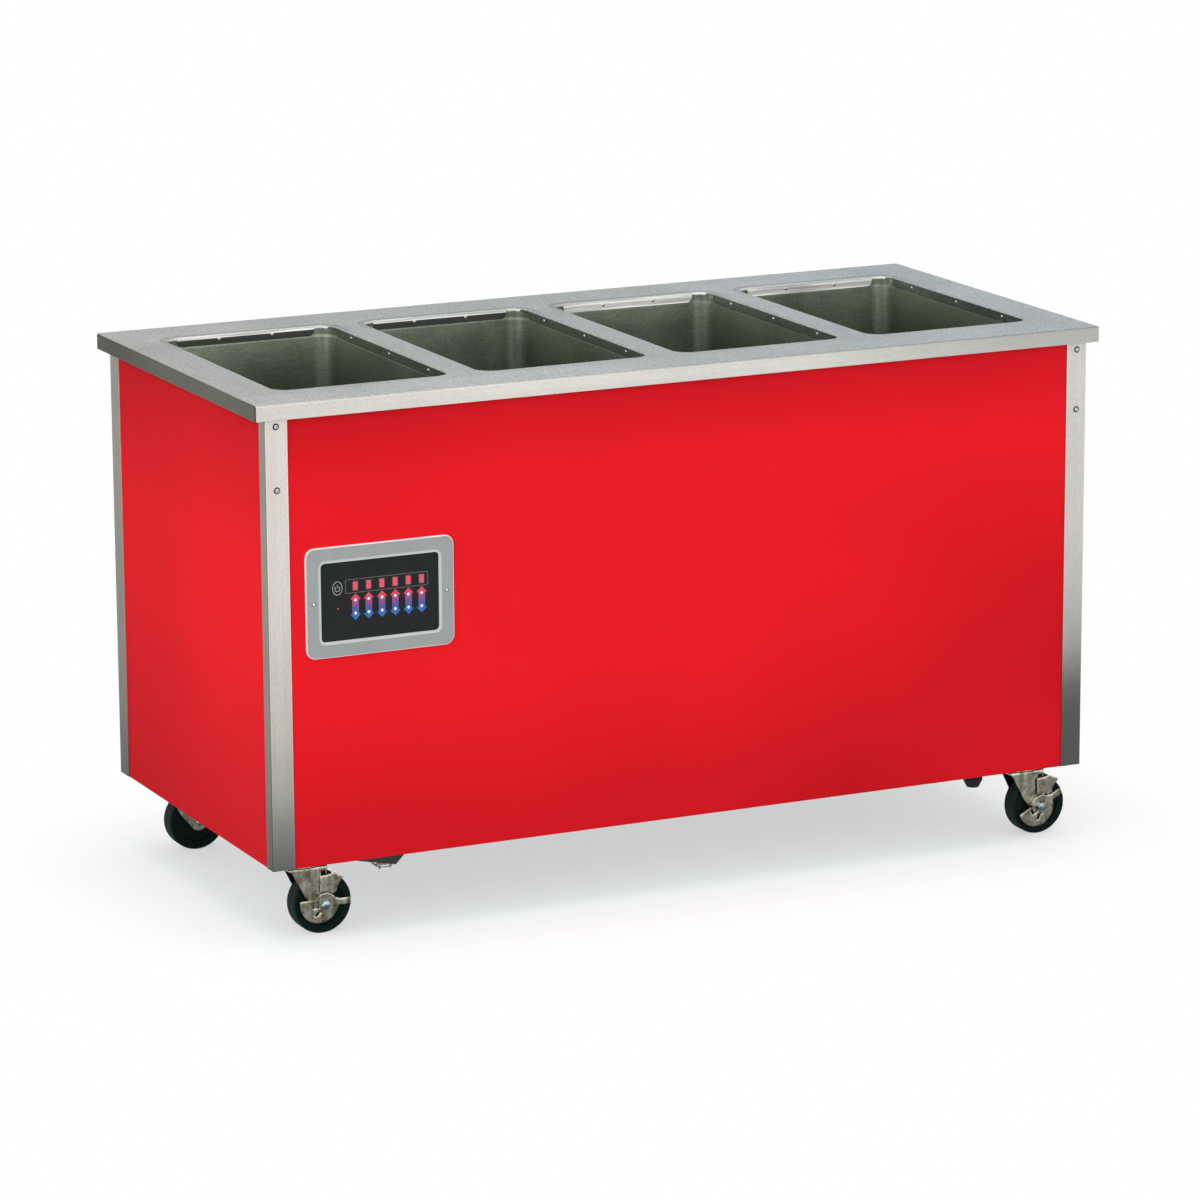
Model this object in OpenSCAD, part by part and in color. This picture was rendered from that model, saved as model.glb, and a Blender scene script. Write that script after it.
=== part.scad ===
// Hot food serving counter with four full-size heated wells, on four swivel casters.
// Frame: floor level is z = 0 under the middle of the top, X runs along the length,
// -Y is the side with the control panel, +Z is up. Millimetres.

/* [Overall] */
// Height of the countertop above the floor
counter_height = 889; // [840:1:940]
// Distance from the outer openings to the ends of the countertop
end_margin = 77.1; // [73:0.1:110]
// Distance from the openings to the front and back edges of the countertop
side_margin = 102.5; // [98:0.5:140]

/* [Countertop] */
// Thickness of the top's sheet
top_sheet = 1.5; // [1.2:0.1:2]
// Height of the turned-down edge
fascia_height = 26; // [20:1:40]
// Radius of the top's vertical corners
top_corner_radius = 5; // [4:0.5:12]
// Outer bend radius along the top's edges
top_bend_radius = 3; // [2.2:0.1:3.5]
// How far the top stands out beyond the body at each end
end_overhang = 19; // [14:1:30]
// How far the top stands out beyond the body at front and back
side_overhang = 10.5; // [8:0.5:20]
// Gap beside the stiffening hat channels under the top
stiffener_gap = 3.6; // [1:0.1:6]
// Height of the stiffening hat channels
stiffener_height = 18; // [12:1:24]

/* [Wells] */
// Width of each opening in the top, along X
opening_width = 303; // [296:1:305]
// Depth of each opening in the top, along Y
opening_depth = 506; // [500:1:515]
// Distance between neighbouring openings
well_gap = 52.6; // [48:0.1:60]
// Corner radius of the openings
opening_radius = 28; // [20:1:36]
// Outer bend radius round the openings
opening_bend_radius = 2.4; // [1.8:0.1:3]
// Height of the flange turned down inside each opening
opening_flange = 16; // [12:1:20]
// Gap between that flange and the well's wall
flange_gap = 0.4; // [0.2:0.1:1]
// Depth of a well below the top
well_depth = 203; // [150:1:240]
// Wall of a well
well_wall = 1.2; // [0.9:0.1:1.5]
// Radius between a well's walls and its floor
well_cove_radius = 14; // [8:1:18]
// Width of the rim that hangs a well under the top
well_rim = 14; // [8:1:16]
// Radius of the drain hole in a well's floor
drain_hole_radius = 24; // [20:1:26]
// Radius of a rivet head in the opening's flange
rivet_radius = 3; // [2:0.1:3.5]

/* [Insulation and heat] */
// Thickness of the insulation beside a well
side_insulation = 18; // [12:1:19]
// Thickness of the insulation below a well
floor_insulation = 20; // [14:1:30]
// Wall of the jacket round the insulation
jacket_wall = 0.9; // [0.7:0.1:1.2]
// Radius of the tubular heating element
element_radius = 4; // [3:0.1:4.5]
// Distance from the element's outer legs to the sides of the well
element_side = 18.4; // [14:0.1:26]
// Distance from the element's bends to the ends of the well
element_end = 58.9; // [30:0.1:90]
// Height of the air space that holds the element
element_space = 10; // [9:0.5:14]

/* [Body] */
// Width of a post's flange on the front and the back
post_flange = 38; // [32:1:50]
// Width of a front post's flange on the end faces
post_front_return = 25; // [22:1:40]
// Width of a back post's flange on the end faces
post_back_return = 40; // [25:1:50]
// Sheet of the posts
post_sheet = 1.5; // [1.2:0.1:2]
// Outer bend radius of the posts
post_bend_radius = 3; // [2.5:0.1:4]
// Sheet of the red panels
panel_sheet = 1.2; // [1:0.1:1.5]
// How far a panel reaches behind a post's flange
panel_tuck = 11; // [6:1:12]
// Depth of the stiffening return along a panel's upright edges
panel_return = 15; // [10:1:20]
// Gap left over a panel's top edge
panel_top_gap = 2.5; // [1:0.5:4]
// Height of the rails under the top
upper_rail_height = 50; // [44:1:60]
// Width of the rails' level flange
upper_rail_width = 24; // [18:1:26]
// Sheet of the rails
rail_sheet = 1.5; // [1.2:0.1:2]
// Distance of the upper post screws below the turned-down edge
upper_screw_drop = 12; // [10:1:20]
// Distance of the lower post screws below the turned-down edge
lower_screw_drop = 114; // [80:1:160]
// Radius of the post screws' heads
screw_head_radius = 5.6; // [4.5:0.1:6.5]

/* [Base] */
// Height of the base rails
base_rail_height = 40; // [34:1:50]
// Width of the level flange of the long base rails
base_rail_width = 60; // [54:1:64]
// Width of the channels that carry the casters
caster_channel_width = 112; // [104:1:130]
// Sheet of the base rails and channels
base_sheet = 2; // [1.5:0.1:3]
// Sheet of the deck on the rails
deck_sheet = 1.2; // [1:0.1:1.5]

/* [Control panel] */
// Distance of the control panel's centre from the body's left end
control_inset = 191.5; // [183:0.5:250]
// Distance of the control panel's centre below the countertop
control_drop = 329; // [260:1:400]
// Width of the bezel
bezel_width = 256; // [240:1:280]
// Height of the bezel
bezel_height = 180; // [170:1:200]
// Width of the bezel's frame round the window
bezel_frame = 26; // [22:1:30]
// Thickness of the bezel
bezel_thickness = 4.5; // [4:0.1:6]
// Corner radius of the bezel
bezel_radius = 16; // [10:1:24]
// Corner radius of the window
window_radius = 7; // [3:1:8]
// Thickness of the membrane overlay with its backing
overlay_thickness = 1.6; // [1:0.1:2]
// Depth of the housing behind the panel
housing_depth = 58; // [40:1:62]
// Radius of the bezel screws
bezel_screw_radius = 2.2; // [1.8:0.1:3]

/* [Casters] */
// Distance of the swivel axes from the body's end faces
caster_end_inset = 78; // [74:1:100]
// Distance of the swivel axes from the body's front and back faces
caster_side_inset = 69; // [62:1:90]
// Diameter of the wheels
wheel_diameter = 101.6; // [96:0.1:103]
// Width of the tread
wheel_width = 31.8; // [28:0.1:32]
// Height of a caster's mounting face above the top of its wheel
swivel_rise = 28.4; // [25:0.1:34]
// Distance from the swivel axis to the axle
caster_trail = 28; // [24:1:32]
// Radius of the sleeve that the wheel turns on
sleeve_radius = 6.3; // [5:0.1:8]
// Radius of the axle bolt
axle_radius = 4; // [3:0.1:4.5]
// Radial running clearance of the bores
running_clearance = 0.08; // [0.04:0.01:0.1]
// Thickness of the fork's sheet
fork_sheet = 2.8; // [2.4:0.1:3]
// Gap between a wheel's hub and the fork
hub_gap = 0.3; // [0.2:0.1:0.5]
// How far a wheel's hub stands out beyond its tread
hub_stand = 2.6; // [2:0.1:3]
// Length of a caster's mounting plate, along X
plate_length = 96; // [92:1:100]
// Width of a caster's mounting plate, along Y
plate_width = 68; // [66:1:72]
// Thickness of a caster's mounting plate
plate_thickness = 3; // [2.5:0.1:3]
// Spacing of the caster bolts along X
bolt_spacing_x = 76.2; // [74:0.1:78]
// Spacing of the caster bolts along Y
bolt_spacing_y = 44.5; // [43:0.1:46]
// Radius of the caster bolts
bolt_radius = 3.9; // [3:0.1:4]
// Radius of the swivel's balls
ball_radius = 3.2; // [2.8:0.1:3.4]
// Radius of the ring of balls
ball_ring_radius = 22; // [20:0.5:23]
// Radius of the king pin
king_pin_radius = 6; // [5:0.1:7]
// Gap between parts of the swivel and brake that pass each other
passing_gap = 0.3; // [0.3:0.05:0.5]

/* [Brakes] */
// Thickness of the brake lever and shoe
brake_sheet = 2.6; // [2:0.1:3]
// Angle between a locked and a free lever
brake_angle = 28; // [20:1:32]
// Lift of the brake shoe between locked and free
brake_lift = 1.5; // [1:0.1:2]

/* [Drain] */
// Radius of the drain pipe
pipe_radius = 14; // [12:0.5:15]
// Wall of the drain pipe
pipe_wall = 1.5; // [1:0.1:2]
// Bend radius of the drain pipe
pipe_bend = 32; // [28:1:36]
// Distance of the drop pipe from the channel that carries the casters
drop_inset = 40; // [38:1:48]
// Distance of the drop pipe from the front base rail
drop_clearance = 32.3; // [31:0.1:40]
// Height of the valve's axis above the underside of the base
valve_rise = 12; // [10:1:14]
// Radius of the thread on the valve's outlet
outlet_radius = 13.2; // [12:0.1:14]
// Length of the thread on the valve's outlet
outlet_length = 15; // [12:1:18]
// Bend radius of the outlet's elbow
outlet_bend = 15; // [14:0.5:18]
// Radius of the valve's ball
valve_ball_radius = 11; // [10:0.1:12]
// Radius of the valve's bore
valve_bore_radius = 8; // [6:0.1:8.5]
// Radius of the valve's stem
stem_radius = 4; // [3:0.1:4.5]
// Slope of the valve guard's floor, in degrees
guard_slope = 12; // [8:1:14]

/* [Supply] */
// Distance of the cord entry from the body's right end
gland_inset = 190; // [165:1:240]
// Radius of the cord that the entry takes
cord_radius = 7; // [5:0.5:9]

/* [Hidden] */
$fn = 48;

// Colours
STEEL = [0.78, 0.78, 0.76];
DULL_STEEL = [0.52, 0.54, 0.50];
ZINC = [0.62, 0.61, 0.55];
RED = [0.85, 0.10, 0.13];
BLACK = [0.04, 0.05, 0.05];
BRASS = [0.75, 0.60, 0.28];
COPPER = [0.72, 0.43, 0.28];
GREY = [0.45, 0.47, 0.46];
GREEN = [0.10, 0.35, 0.18];
WOOL = [0.86, 0.80, 0.55];

// Small gap between pieces that stand end to end
seat_gap = 0.3;
// How far a cutting shape runs past the faces that it cuts
past = 1;

// Levels and faces of the body
well_pitch = opening_width + well_gap;
counter_length = 3 * well_pitch + opening_width + 2 * end_margin;
counter_depth = opening_depth + 2 * side_margin;
fascia_lip = side_overhang - seat_gap;
base_height = wheel_diameter + swivel_rise;
body_length = counter_length - 2 * end_overhang;
body_depth = counter_depth - 2 * side_overhang;
end_x = body_length / 2;
face_y = body_depth / 2;
top_underside = counter_height - top_sheet;
panel_face_y = face_y - post_sheet;
panel_back_y = panel_face_y - panel_sheet;
panel_face_x = end_x - post_sheet;
panel_back_x = panel_face_x - panel_sheet;
panel_top = top_underside - panel_top_gap;
deck_bottom = base_height + base_rail_height;
deck_top = deck_bottom + deck_sheet;
upper_screw_z = counter_height - fascia_height - upper_screw_drop;
long_panel = 2 * (end_x - post_flange + panel_tuck);
end_panel_front = -(face_y - post_front_return + panel_tuck);
end_panel_back = face_y - post_back_return + panel_tuck;
return_gap = 4;

// Wells
well_xs = [for (i = [0:3]) (i - 1.5) * well_pitch];
rim_depth = opening_bend_radius + 2.6;
strip_end_radius = 0.6 * opening_flange;
rivet_step = 0.315;
well_corner_radius = opening_radius + top_sheet + flange_gap;
well_width = opening_width + 2 * (top_sheet + flange_gap);
well_length = opening_depth + 2 * (top_sheet + flange_gap);
well_floor = counter_height - well_depth;
well_underside = well_floor - well_wall;
cavity_floor = well_underside - element_space;
insulation_floor = cavity_floor - floor_insulation;
jacket_floor = insulation_floor - jacket_wall;
jacket_width = well_width + 2 * (well_wall + side_insulation + jacket_wall);
jacket_length = well_length + 2 * (well_wall + side_insulation + jacket_wall);
jacket_radius = well_corner_radius + well_wall + side_insulation + jacket_wall;
stiffener_start = jacket_length / 2 + stiffener_gap;
stiffener_width = panel_back_y - upper_rail_width - stiffener_start - stiffener_gap;
stiffener_lip = 8;
element_legs = 6;
element_pitch = (well_width - 2 * element_side) / (element_legs - 1);
element_leg = well_length - 2 * element_end - element_pitch - 2 * element_radius;
element_tail = 16;
terminal_radius = element_radius + 1.5;
drain_lip = 1;
drain_lip_radius = drain_hole_radius + 3;
tail_radius = drain_hole_radius - 5;
tail_drop = 14;
tail_wall = 2;
tail_nut = 8;
collar_height = 20;
collar_bite = 4;
collar_wall = 2;
strainer_plate = 1.2;
strainer_hole = 1.8;
strainer_ring = 8.5;

// Casters, in the order front left, front right, back left, back right
caster_x = end_x - caster_end_inset;
caster_y = face_y - caster_side_inset;
CASTER_PLACES = [[-caster_x, -caster_y], [caster_x, -caster_y], [-caster_x, caster_y], [caster_x, caster_y]];
channel_half = caster_channel_width / 2;
channel_inner_x = caster_x - channel_half;
axle_z = wheel_diameter / 2;
plate_bottom = base_height - plate_thickness;
leg_inner = wheel_width / 2 + hub_stand + hub_gap;
leg_outer = leg_inner + fork_sheet;
lever_inner = leg_outer + passing_gap;
lever_outer = lever_inner + brake_sheet;
race_pad = 2;
race_radius = ball_ring_radius + 5;
ball_z = plate_bottom - race_pad - passing_gap - ball_radius;
crown_top = ball_z - ball_radius - passing_gap - race_pad;
crown_bottom = crown_top - fork_sheet;
crown_radius = 40;
lever_swing_radius = 20;
leg_end_radius = 16;
fork_bend = 5;
fork_lead = 28;
lever_radius = 33.5;
lever_flat = 9;
hub_radius = 12;
tread_edge = 4.5;
dish_depth = 2.5;
ball_count = 14;

// Drain
manifold_drop = 24;
manifold_z = jacket_floor - manifold_drop - pipe_radius;
drop_x = -channel_inner_x + drop_inset;
drop_y = -(panel_back_y - base_rail_width - drop_clearance);
valve_z = base_height + valve_rise;
valve_half = 22;
valve_hex = 30;
valve_hex_length = 12;
valve_x = drop_x + pipe_bend + valve_half;
guard_sheet = 1.2;
guard_half = 26;
guard_lip = 9;
guard_low_x = valve_x + 14;
guard_low_z = base_height - 36;
guard_left_x = -channel_inner_x + 3;
nipple_radius = valve_bore_radius + 3;
nipple_end = guard_low_x - valve_x + valve_z - guard_low_z + nipple_radius + 3;
neck_radius = stem_radius + 4;
neck_hex_height = 9;
handle_gap = 3.5;
handle_top = guard_low_z - handle_gap - valve_z;
handle_sheet = 3.2;
handle_length = 46;
handle_width = 28;
handle_bar = 4;
neck_bottom = handle_top + passing_gap;
stem_bite = 2;

// Control panel
control_x = -end_x + control_inset;
control_z = counter_height - control_drop;
window_width = bezel_width - 2 * bezel_frame;
window_height = bezel_height - 2 * bezel_frame;
bezel_edge = 1.9;
bezel_step = 1;
bezel_step_width = 4;
bezel_screw_x = (bezel_width - bezel_frame) / 2;
overlay_width = window_width + 9;
overlay_height = window_height + 9;
cutout_width = window_width - 49;
cutout_height = window_height - 28;
display_pitch = 22.9;
display_x = 16;
display_z = window_height / 2 - 41;
cutout_shift = display_x;
display_width = 12;
display_height = 17;
display_depth = 6.5;
housing_width = bezel_width - 15;
housing_height = bezel_height - 24;
housing_wall = 1;
housing_flange = 8;
board_side = 28;
board_end = 20;
board_width = housing_width - 2 * board_side;
board_height = housing_height - 2 * board_end;
board_front = 9;
board_sheet = 1.6;
board_post_inset = 6;
relay_pitch = 32;
RELAY = [24, 30, 15];
TRANSFORMER = [34, 44, 26];
screw_shank_radius = 2.4;
nut_radius = screw_shank_radius + 2;

// Cord entry
gland_x = end_x - gland_inset;
gland_y = -panel_back_y + base_rail_width / 2 + 3;
gland_thread = cord_radius + 5.5;
gland_drop = 25;
gland_clamp = gland_thread + 4;
gland_tip = cord_radius + 3.5;
gland_hex_height = 9;
gland_rise = 10;
gland_nut_height = 6;

// Switchgear
din_height = 7.5;
din_width = 35;
din_foot = 25;
switch_pitch = 50;
switch_width = 45;
switch_depth = 72;
switch_base = 42;
switch_cap_depth = 48;
switch_cap = 18;
switch_setback = 200;
switch_y = gland_y + switch_setback;
terminal_pitch = 14.5;
terminal_count = 12;
terminal_depth = 32;
terminal_height = 24;
terminal_gap = 52;

// Shared shapes

module rounded_rect(w, d, r) {
    square([w - 2 * r, d], center = true);
    square([w, d - 2 * r], center = true);
    for (sx = [-1, 1], sy = [-1, 1]) {
        translate([sx * (w / 2 - r), sy * (d / 2 - r)]) circle(r);
    }
}

// Cross-section of a block whose lower edge is rounded, from its middle to one side
module edge_profile(half, h, e) {
    square([half - e, h]);
    translate([0, e]) square([half, h - e]);
    translate([half - e, e]) circle(e);
}

// Block with rounded upright corners and a rounded edge round its floor at z = 0
module soft_block(w, d, h, r, e) {
    for (turn = [0, 1]) {
        half = turn == 0 ? w / 2 : d / 2;
        run = (turn == 0 ? d : w) - 2 * r;
        rotate([0, 0, turn * 90]) rotate([90, 0, 0]) linear_extrude(run, center = true) {
            edge_profile(half, h, e);
            mirror([1, 0]) edge_profile(half, h, e);
        }
    }
    for (sx = [-1, 1], sy = [-1, 1]) {
        translate([sx * (w / 2 - r), sy * (d / 2 - r), 0]) rotate_extrude() intersection() {
            edge_profile(r, h, e);
            square([r, h]);
        }
    }
}

// Angle section with a bent corner at the origin and its legs along +x and +y
module angle_profile(leg_x, leg_y, t, r) {
    difference() {
        union() {
            translate([r, 0]) square([leg_x - r, t]);
            translate([0, r]) square([t, leg_y - r]);
            intersection() {
                translate([r, r]) circle(r);
                square(r);
            }
        }
        translate([r, r]) circle(r - t);
    }
}

// Tube along +Y, centred at the origin
module y_rod(r, y0, y1) {
    translate([0, y0, 0]) rotate([-90, 0, 0]) cylinder(r = r, h = y1 - y0);
}

module x_rod(r, x0, x1) {
    translate([x0, 0, 0]) rotate([0, 90, 0]) cylinder(r = r, h = x1 - x0);
}

// Hexagon bar along +Y
module y_hex(across_flats, y0, y1) {
    translate([0, y0, 0]) rotate([-90, 0, 0]) cylinder(d = across_flats / cos(30), h = y1 - y0, $fn = 6);
}

module x_hex(across_flats, x0, x1) {
    translate([x0, 0, 0]) rotate([0, 90, 0]) cylinder(d = across_flats / cos(30), h = x1 - x0, $fn = 6);
}

// Countertop

// Cross-section of the bend at an opening's edge: outwards from the edge, downwards from the top
module rim_profile() {
    r = opening_bend_radius;
    difference() {
        intersection() {
            translate([r, -r]) circle(r);
            translate([0, -r]) square([r, r]);
        }
        translate([top_sheet, -r - past]) square([r, r + past - top_sheet]);
    }
    translate([0, -rim_depth]) square([top_sheet, rim_depth - r]);
}

// Bent edge that runs round an opening without a break
module opening_rim() {
    for (turn = [0, 90, 180, 270]) {
        lengthwise = turn % 180 == 0;
        half = (lengthwise ? opening_depth : opening_width) / 2;
        run = (lengthwise ? opening_width : opening_depth) - 2 * opening_radius;
        rotate([0, 0, turn]) translate([0, -half, counter_height]) rotate([90, 0, -90]) {
            linear_extrude(run, center = true) rim_profile();
        }
        corner_x = (lengthwise ? 1 : -1) * (turn < 180 ? 1 : -1) * (opening_width / 2 - opening_radius);
        corner_y = (turn < 180 ? 1 : -1) * (opening_depth / 2 - opening_radius);
        translate([corner_x, corner_y, counter_height]) rotate([0, 0, turn]) {
            rotate_extrude(angle = 90) translate([opening_radius, 0]) rim_profile();
        }
    }
}

// Flange strip along +X below an opening's rim, its lower corners rounded
module flange_strip(length) {
    r = strip_end_radius;
    rotate([90, 0, 0]) linear_extrude(top_sheet) intersection() {
        translate([-length / 2, -opening_flange]) {
            square([length, opening_flange - opening_bend_radius + top_sheet]);
        }
        union() {
            translate([-length / 2, -opening_flange + r]) square([length, opening_flange]);
            translate([-length / 2 + r, -opening_flange]) square([length - 2 * r, r]);
            for (s = [-1, 1]) {
                translate([s * (length / 2 - r), -opening_flange + r]) circle(r);
            }
        }
    }
}

module opening_flanges() {
    for (s = [0, 180]) {
        rotate([0, 0, s]) translate([0, -opening_depth / 2, top_underside]) {
            flange_strip(opening_width - 2 * opening_radius);
        }
        rotate([0, 0, s + 90]) translate([0, -opening_width / 2, top_underside]) {
            flange_strip(opening_depth - 2 * opening_radius);
        }
    }
}

module countertop() color(STEEL) {
    t = top_sheet;
    difference() {
        translate([0, 0, counter_height]) mirror([0, 0, 1]) {
            soft_block(counter_length, counter_depth, fascia_height, top_corner_radius, top_bend_radius);
        }
        translate([0, 0, top_underside]) mirror([0, 0, 1]) {
            soft_block(
                counter_length - 2 * t, counter_depth - 2 * t, fascia_height - 2 * t,
                top_corner_radius - t, top_bend_radius - t
            );
        }
        translate([0, 0, counter_height - fascia_height - past]) linear_extrude(2 * t + past) {
            rounded_rect(counter_length - 2 * fascia_lip, counter_depth - 2 * fascia_lip, top_corner_radius);
        }
        for (x = well_xs) {
            translate([x, 0, top_underside - past]) linear_extrude(t + 2 * past) {
                rounded_rect(
                    opening_width + 2 * opening_bend_radius, opening_depth + 2 * opening_bend_radius,
                    opening_radius + opening_bend_radius
                );
            }
        }
    }
    for (x = well_xs) {
        translate([x, 0, 0]) {
            opening_rim();
            opening_flanges();
        }
    }
}

module hat_channel(length) {
    lip = stiffener_lip;
    t = rail_sheet;
    rotate([90, 0, 90]) linear_extrude(length, center = true) difference() {
        union() {
            translate([-stiffener_width / 2, -t]) square([stiffener_width, t]);
            translate([-stiffener_width / 2 + lip, -stiffener_height]) {
                square([stiffener_width - 2 * lip, stiffener_height]);
            }
        }
        translate([-stiffener_width / 2 + lip + t, -stiffener_height + t]) {
            square([stiffener_width - 2 * (lip + t), stiffener_height]);
        }
    }
}

module top_stiffeners() color(DULL_STEEL) {
    y = stiffener_start + stiffener_width / 2;
    for (s = [-1, 1]) {
        translate([0, s * y, top_underside]) hat_channel(3 * well_pitch + opening_width);
    }
}

// Wells

module well_block(grow, h) {
    soft_block(
        well_width + 2 * grow, well_length + 2 * grow, h,
        well_corner_radius + grow, well_cove_radius + grow
    );
}

module well() color(DULL_STEEL) difference() {
    union() {
        translate([0, 0, well_underside]) well_block(well_wall, top_underside - well_underside);
        translate([0, 0, top_underside - well_wall]) linear_extrude(well_wall) {
            rounded_rect(
                well_width + 2 * well_rim, well_length + 2 * well_rim, well_corner_radius + well_rim
            );
        }
    }
    translate([0, 0, well_floor]) well_block(0, well_depth);
    translate([0, 0, well_underside - past]) cylinder(r = drain_hole_radius, h = well_wall + 2 * past);
}

module at_well(i) translate([well_xs[i], 0, 0]) children();

module well_1() at_well(0) well();
module well_2() at_well(1) well();
module well_3() at_well(2) well();
module well_4() at_well(3) well();

// Holes through the floor layers for the drain and the element's two ends
module floor_holes(z0, z1) {
    translate([0, 0, z0]) cylinder(r = drain_hole_radius + 1, h = z1 - z0);
    for (s = [-1, 1]) {
        translate([s * element_pitch * (element_legs - 1) / 2, -element_leg / 2, z0]) {
            cylinder(r = terminal_radius + passing_gap, h = z1 - z0);
        }
    }
}

module jacket() color([0.66, 0.69, 0.70]) difference() {
    translate([0, 0, jacket_floor]) linear_extrude(top_underside - jacket_floor) {
        rounded_rect(jacket_width, jacket_length, jacket_radius);
    }
    translate([0, 0, insulation_floor]) linear_extrude(top_underside) {
        rounded_rect(
            jacket_width - 2 * jacket_wall, jacket_length - 2 * jacket_wall, jacket_radius - jacket_wall
        );
    }
    floor_holes(jacket_floor - past, insulation_floor + past);
}

module well_jacket_1() at_well(0) jacket();
module well_jacket_2() at_well(1) jacket();
module well_jacket_3() at_well(2) jacket();
module well_jacket_4() at_well(3) jacket();

module well_insulation() color(WOOL) for (i = [0:3]) at_well(i) difference() {
    translate([0, 0, insulation_floor]) linear_extrude(top_underside - well_wall - insulation_floor) {
        rounded_rect(
            jacket_width - 2 * (jacket_wall + seat_gap), jacket_length - 2 * (jacket_wall + seat_gap),
            jacket_radius - jacket_wall - seat_gap
        );
    }
    translate([0, 0, cavity_floor]) linear_extrude(top_underside) {
        rounded_rect(
            well_width + 2 * (well_wall + seat_gap), well_length + 2 * (well_wall + seat_gap),
            well_corner_radius + well_wall + seat_gap
        );
    }
    floor_holes(insulation_floor - past, cavity_floor + past);
}

// One serpentine element: straight legs joined by half turns, both ends turned down
module element() {
    z = well_underside - element_radius - seat_gap;
    half = element_leg / 2;
    bend = element_pitch / 2;
    for (k = [0:element_legs - 1]) {
        x = (k - (element_legs - 1) / 2) * element_pitch;
        translate([x, 0, z]) y_rod(element_radius, -half, half);
        if (k < element_legs - 1) {
            side = k % 2 == 0 ? 1 : -1;
            translate([x + bend, side * half, z]) rotate([0, 0, side > 0 ? 0 : 180]) {
                rotate_extrude(angle = 180) translate([bend, 0]) circle(element_radius);
            }
        }
    }
    for (s = [-1, 1]) {
        translate([s * element_pitch * (element_legs - 1) / 2, -half, jacket_floor - element_tail]) {
            cylinder(r = element_radius, h = z - jacket_floor + element_tail);
        }
    }
}

module heating_elements() color([0.30, 0.30, 0.30]) for (i = [0:3]) at_well(i) element();

// Drain fitting under a well: a flanged tail with a lock nut, and a collar on the manifold
module drain_fitting() {
    tail_end = jacket_floor - tail_drop;
    nut_bottom = jacket_floor - tail_nut - seat_gap;
    collar_bottom = manifold_z + pipe_radius - collar_bite;
    difference() {
        union() {
            translate([0, 0, well_floor]) cylinder(r = drain_lip_radius, h = drain_lip);
            translate([0, 0, tail_end]) cylinder(r = tail_radius, h = well_floor - tail_end);
            translate([0, 0, nut_bottom]) cylinder(r = tail_radius + tail_nut, h = tail_nut, $fn = 8);
            translate([0, 0, collar_bottom]) {
                cylinder(r = pipe_radius + collar_wall, h = collar_height + collar_bite);
            }
        }
        translate([0, 0, nut_bottom]) cylinder(r = tail_radius - tail_wall, h = well_depth);
        translate([0, 0, manifold_z - past]) cylinder(r = pipe_radius - pipe_wall, h = well_depth);
    }
}

module well_drains() color(BRASS) difference() {
    for (i = [0:3]) at_well(i) drain_fitting();
    drain_way(pipe_radius + seat_gap / 10, 0);
}

module strainer() {
    translate([0, 0, well_floor + drain_lip + seat_gap]) difference() {
        union() {
            cylinder(r = drain_hole_radius + 1, h = strainer_plate);
            translate([0, 0, strainer_plate]) cylinder(r = 2 * strainer_hole, h = 7);
        }
        for (ring = [1, 2], k = [0:6 * ring - 1]) {
            rotate([0, 0, k * 60 / ring]) translate([ring * strainer_ring, 0, -past]) {
                cylinder(r = strainer_hole, h = strainer_plate + 2 * past, $fn = 16);
            }
        }
    }
}

module well_strainers() color(STEEL) for (i = [0:3]) at_well(i) strainer();

// Domed rivet head with its flat face on z = 0
module rivet_head(r, h) {
    ball = (r * r + h * h) / (2 * h);
    intersection() {
        translate([0, 0, h - ball]) sphere(ball);
        cylinder(r = r, h = h);
    }
}

// Row of rivets on a flange that lies along X and faces +Y
module rivet_row(length, count) {
    for (k = [0:count - 1]) {
        x = (k - (count - 1) / 2) * length * rivet_step;
        translate([x, 0, 0]) rotate([-90, 0, 0]) rivet_head(rivet_radius, rivet_radius * 0.5);
    }
}

module well_rivets() color(STEEL) for (i = [0:3]) at_well(i) {
    z = top_underside - opening_flange * 0.45;
    for (s = [0, 180]) {
        rotate([0, 0, s]) translate([0, -opening_depth / 2, z]) rivet_row(opening_width, 2);
        rotate([0, 0, s + 90]) translate([0, -opening_width / 2, z]) rivet_row(opening_depth, 3);
    }
}

// Drain

// The drain's way: along the wells, forward at the left, down, then to the valve.
// Both ends of the long run are closed by caps of the given thickness.
module drain_way(r, cap) {
    x0 = drop_x - 2 * pipe_radius + cap;
    x1 = well_xs[3] + 2 * pipe_radius - cap;
    translate([0, 0, manifold_z]) x_rod(r, x0, x1);
    translate([drop_x, 0, manifold_z]) y_rod(r, drop_y + pipe_bend, 0);
    translate([drop_x, drop_y + pipe_bend, manifold_z - pipe_bend]) rotate([0, -90, 0]) {
        rotate([0, 0, -90]) rotate_extrude(angle = 90) translate([pipe_bend, 0]) circle(r);
    }
    translate([drop_x, drop_y, valve_z + pipe_bend]) {
        cylinder(r = r, h = manifold_z - valve_z - 2 * pipe_bend);
    }
    translate([drop_x + pipe_bend, drop_y, valve_z + pipe_bend]) rotate([90, 0, 0]) {
        rotate([0, 0, 180]) rotate_extrude(angle = 90) translate([pipe_bend, 0]) circle(r);
    }
}

module drain_manifold() color(COPPER) difference() {
    drain_way(pipe_radius, 0);
    drain_way(pipe_radius - pipe_wall, pipe_wall);
    for (x = well_xs) {
        translate([x, 0, manifold_z]) cylinder(r = pipe_radius - pipe_wall, h = 2 * pipe_radius);
    }
}

module at_valve() translate([valve_x, drop_y, valve_z]) children();

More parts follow.
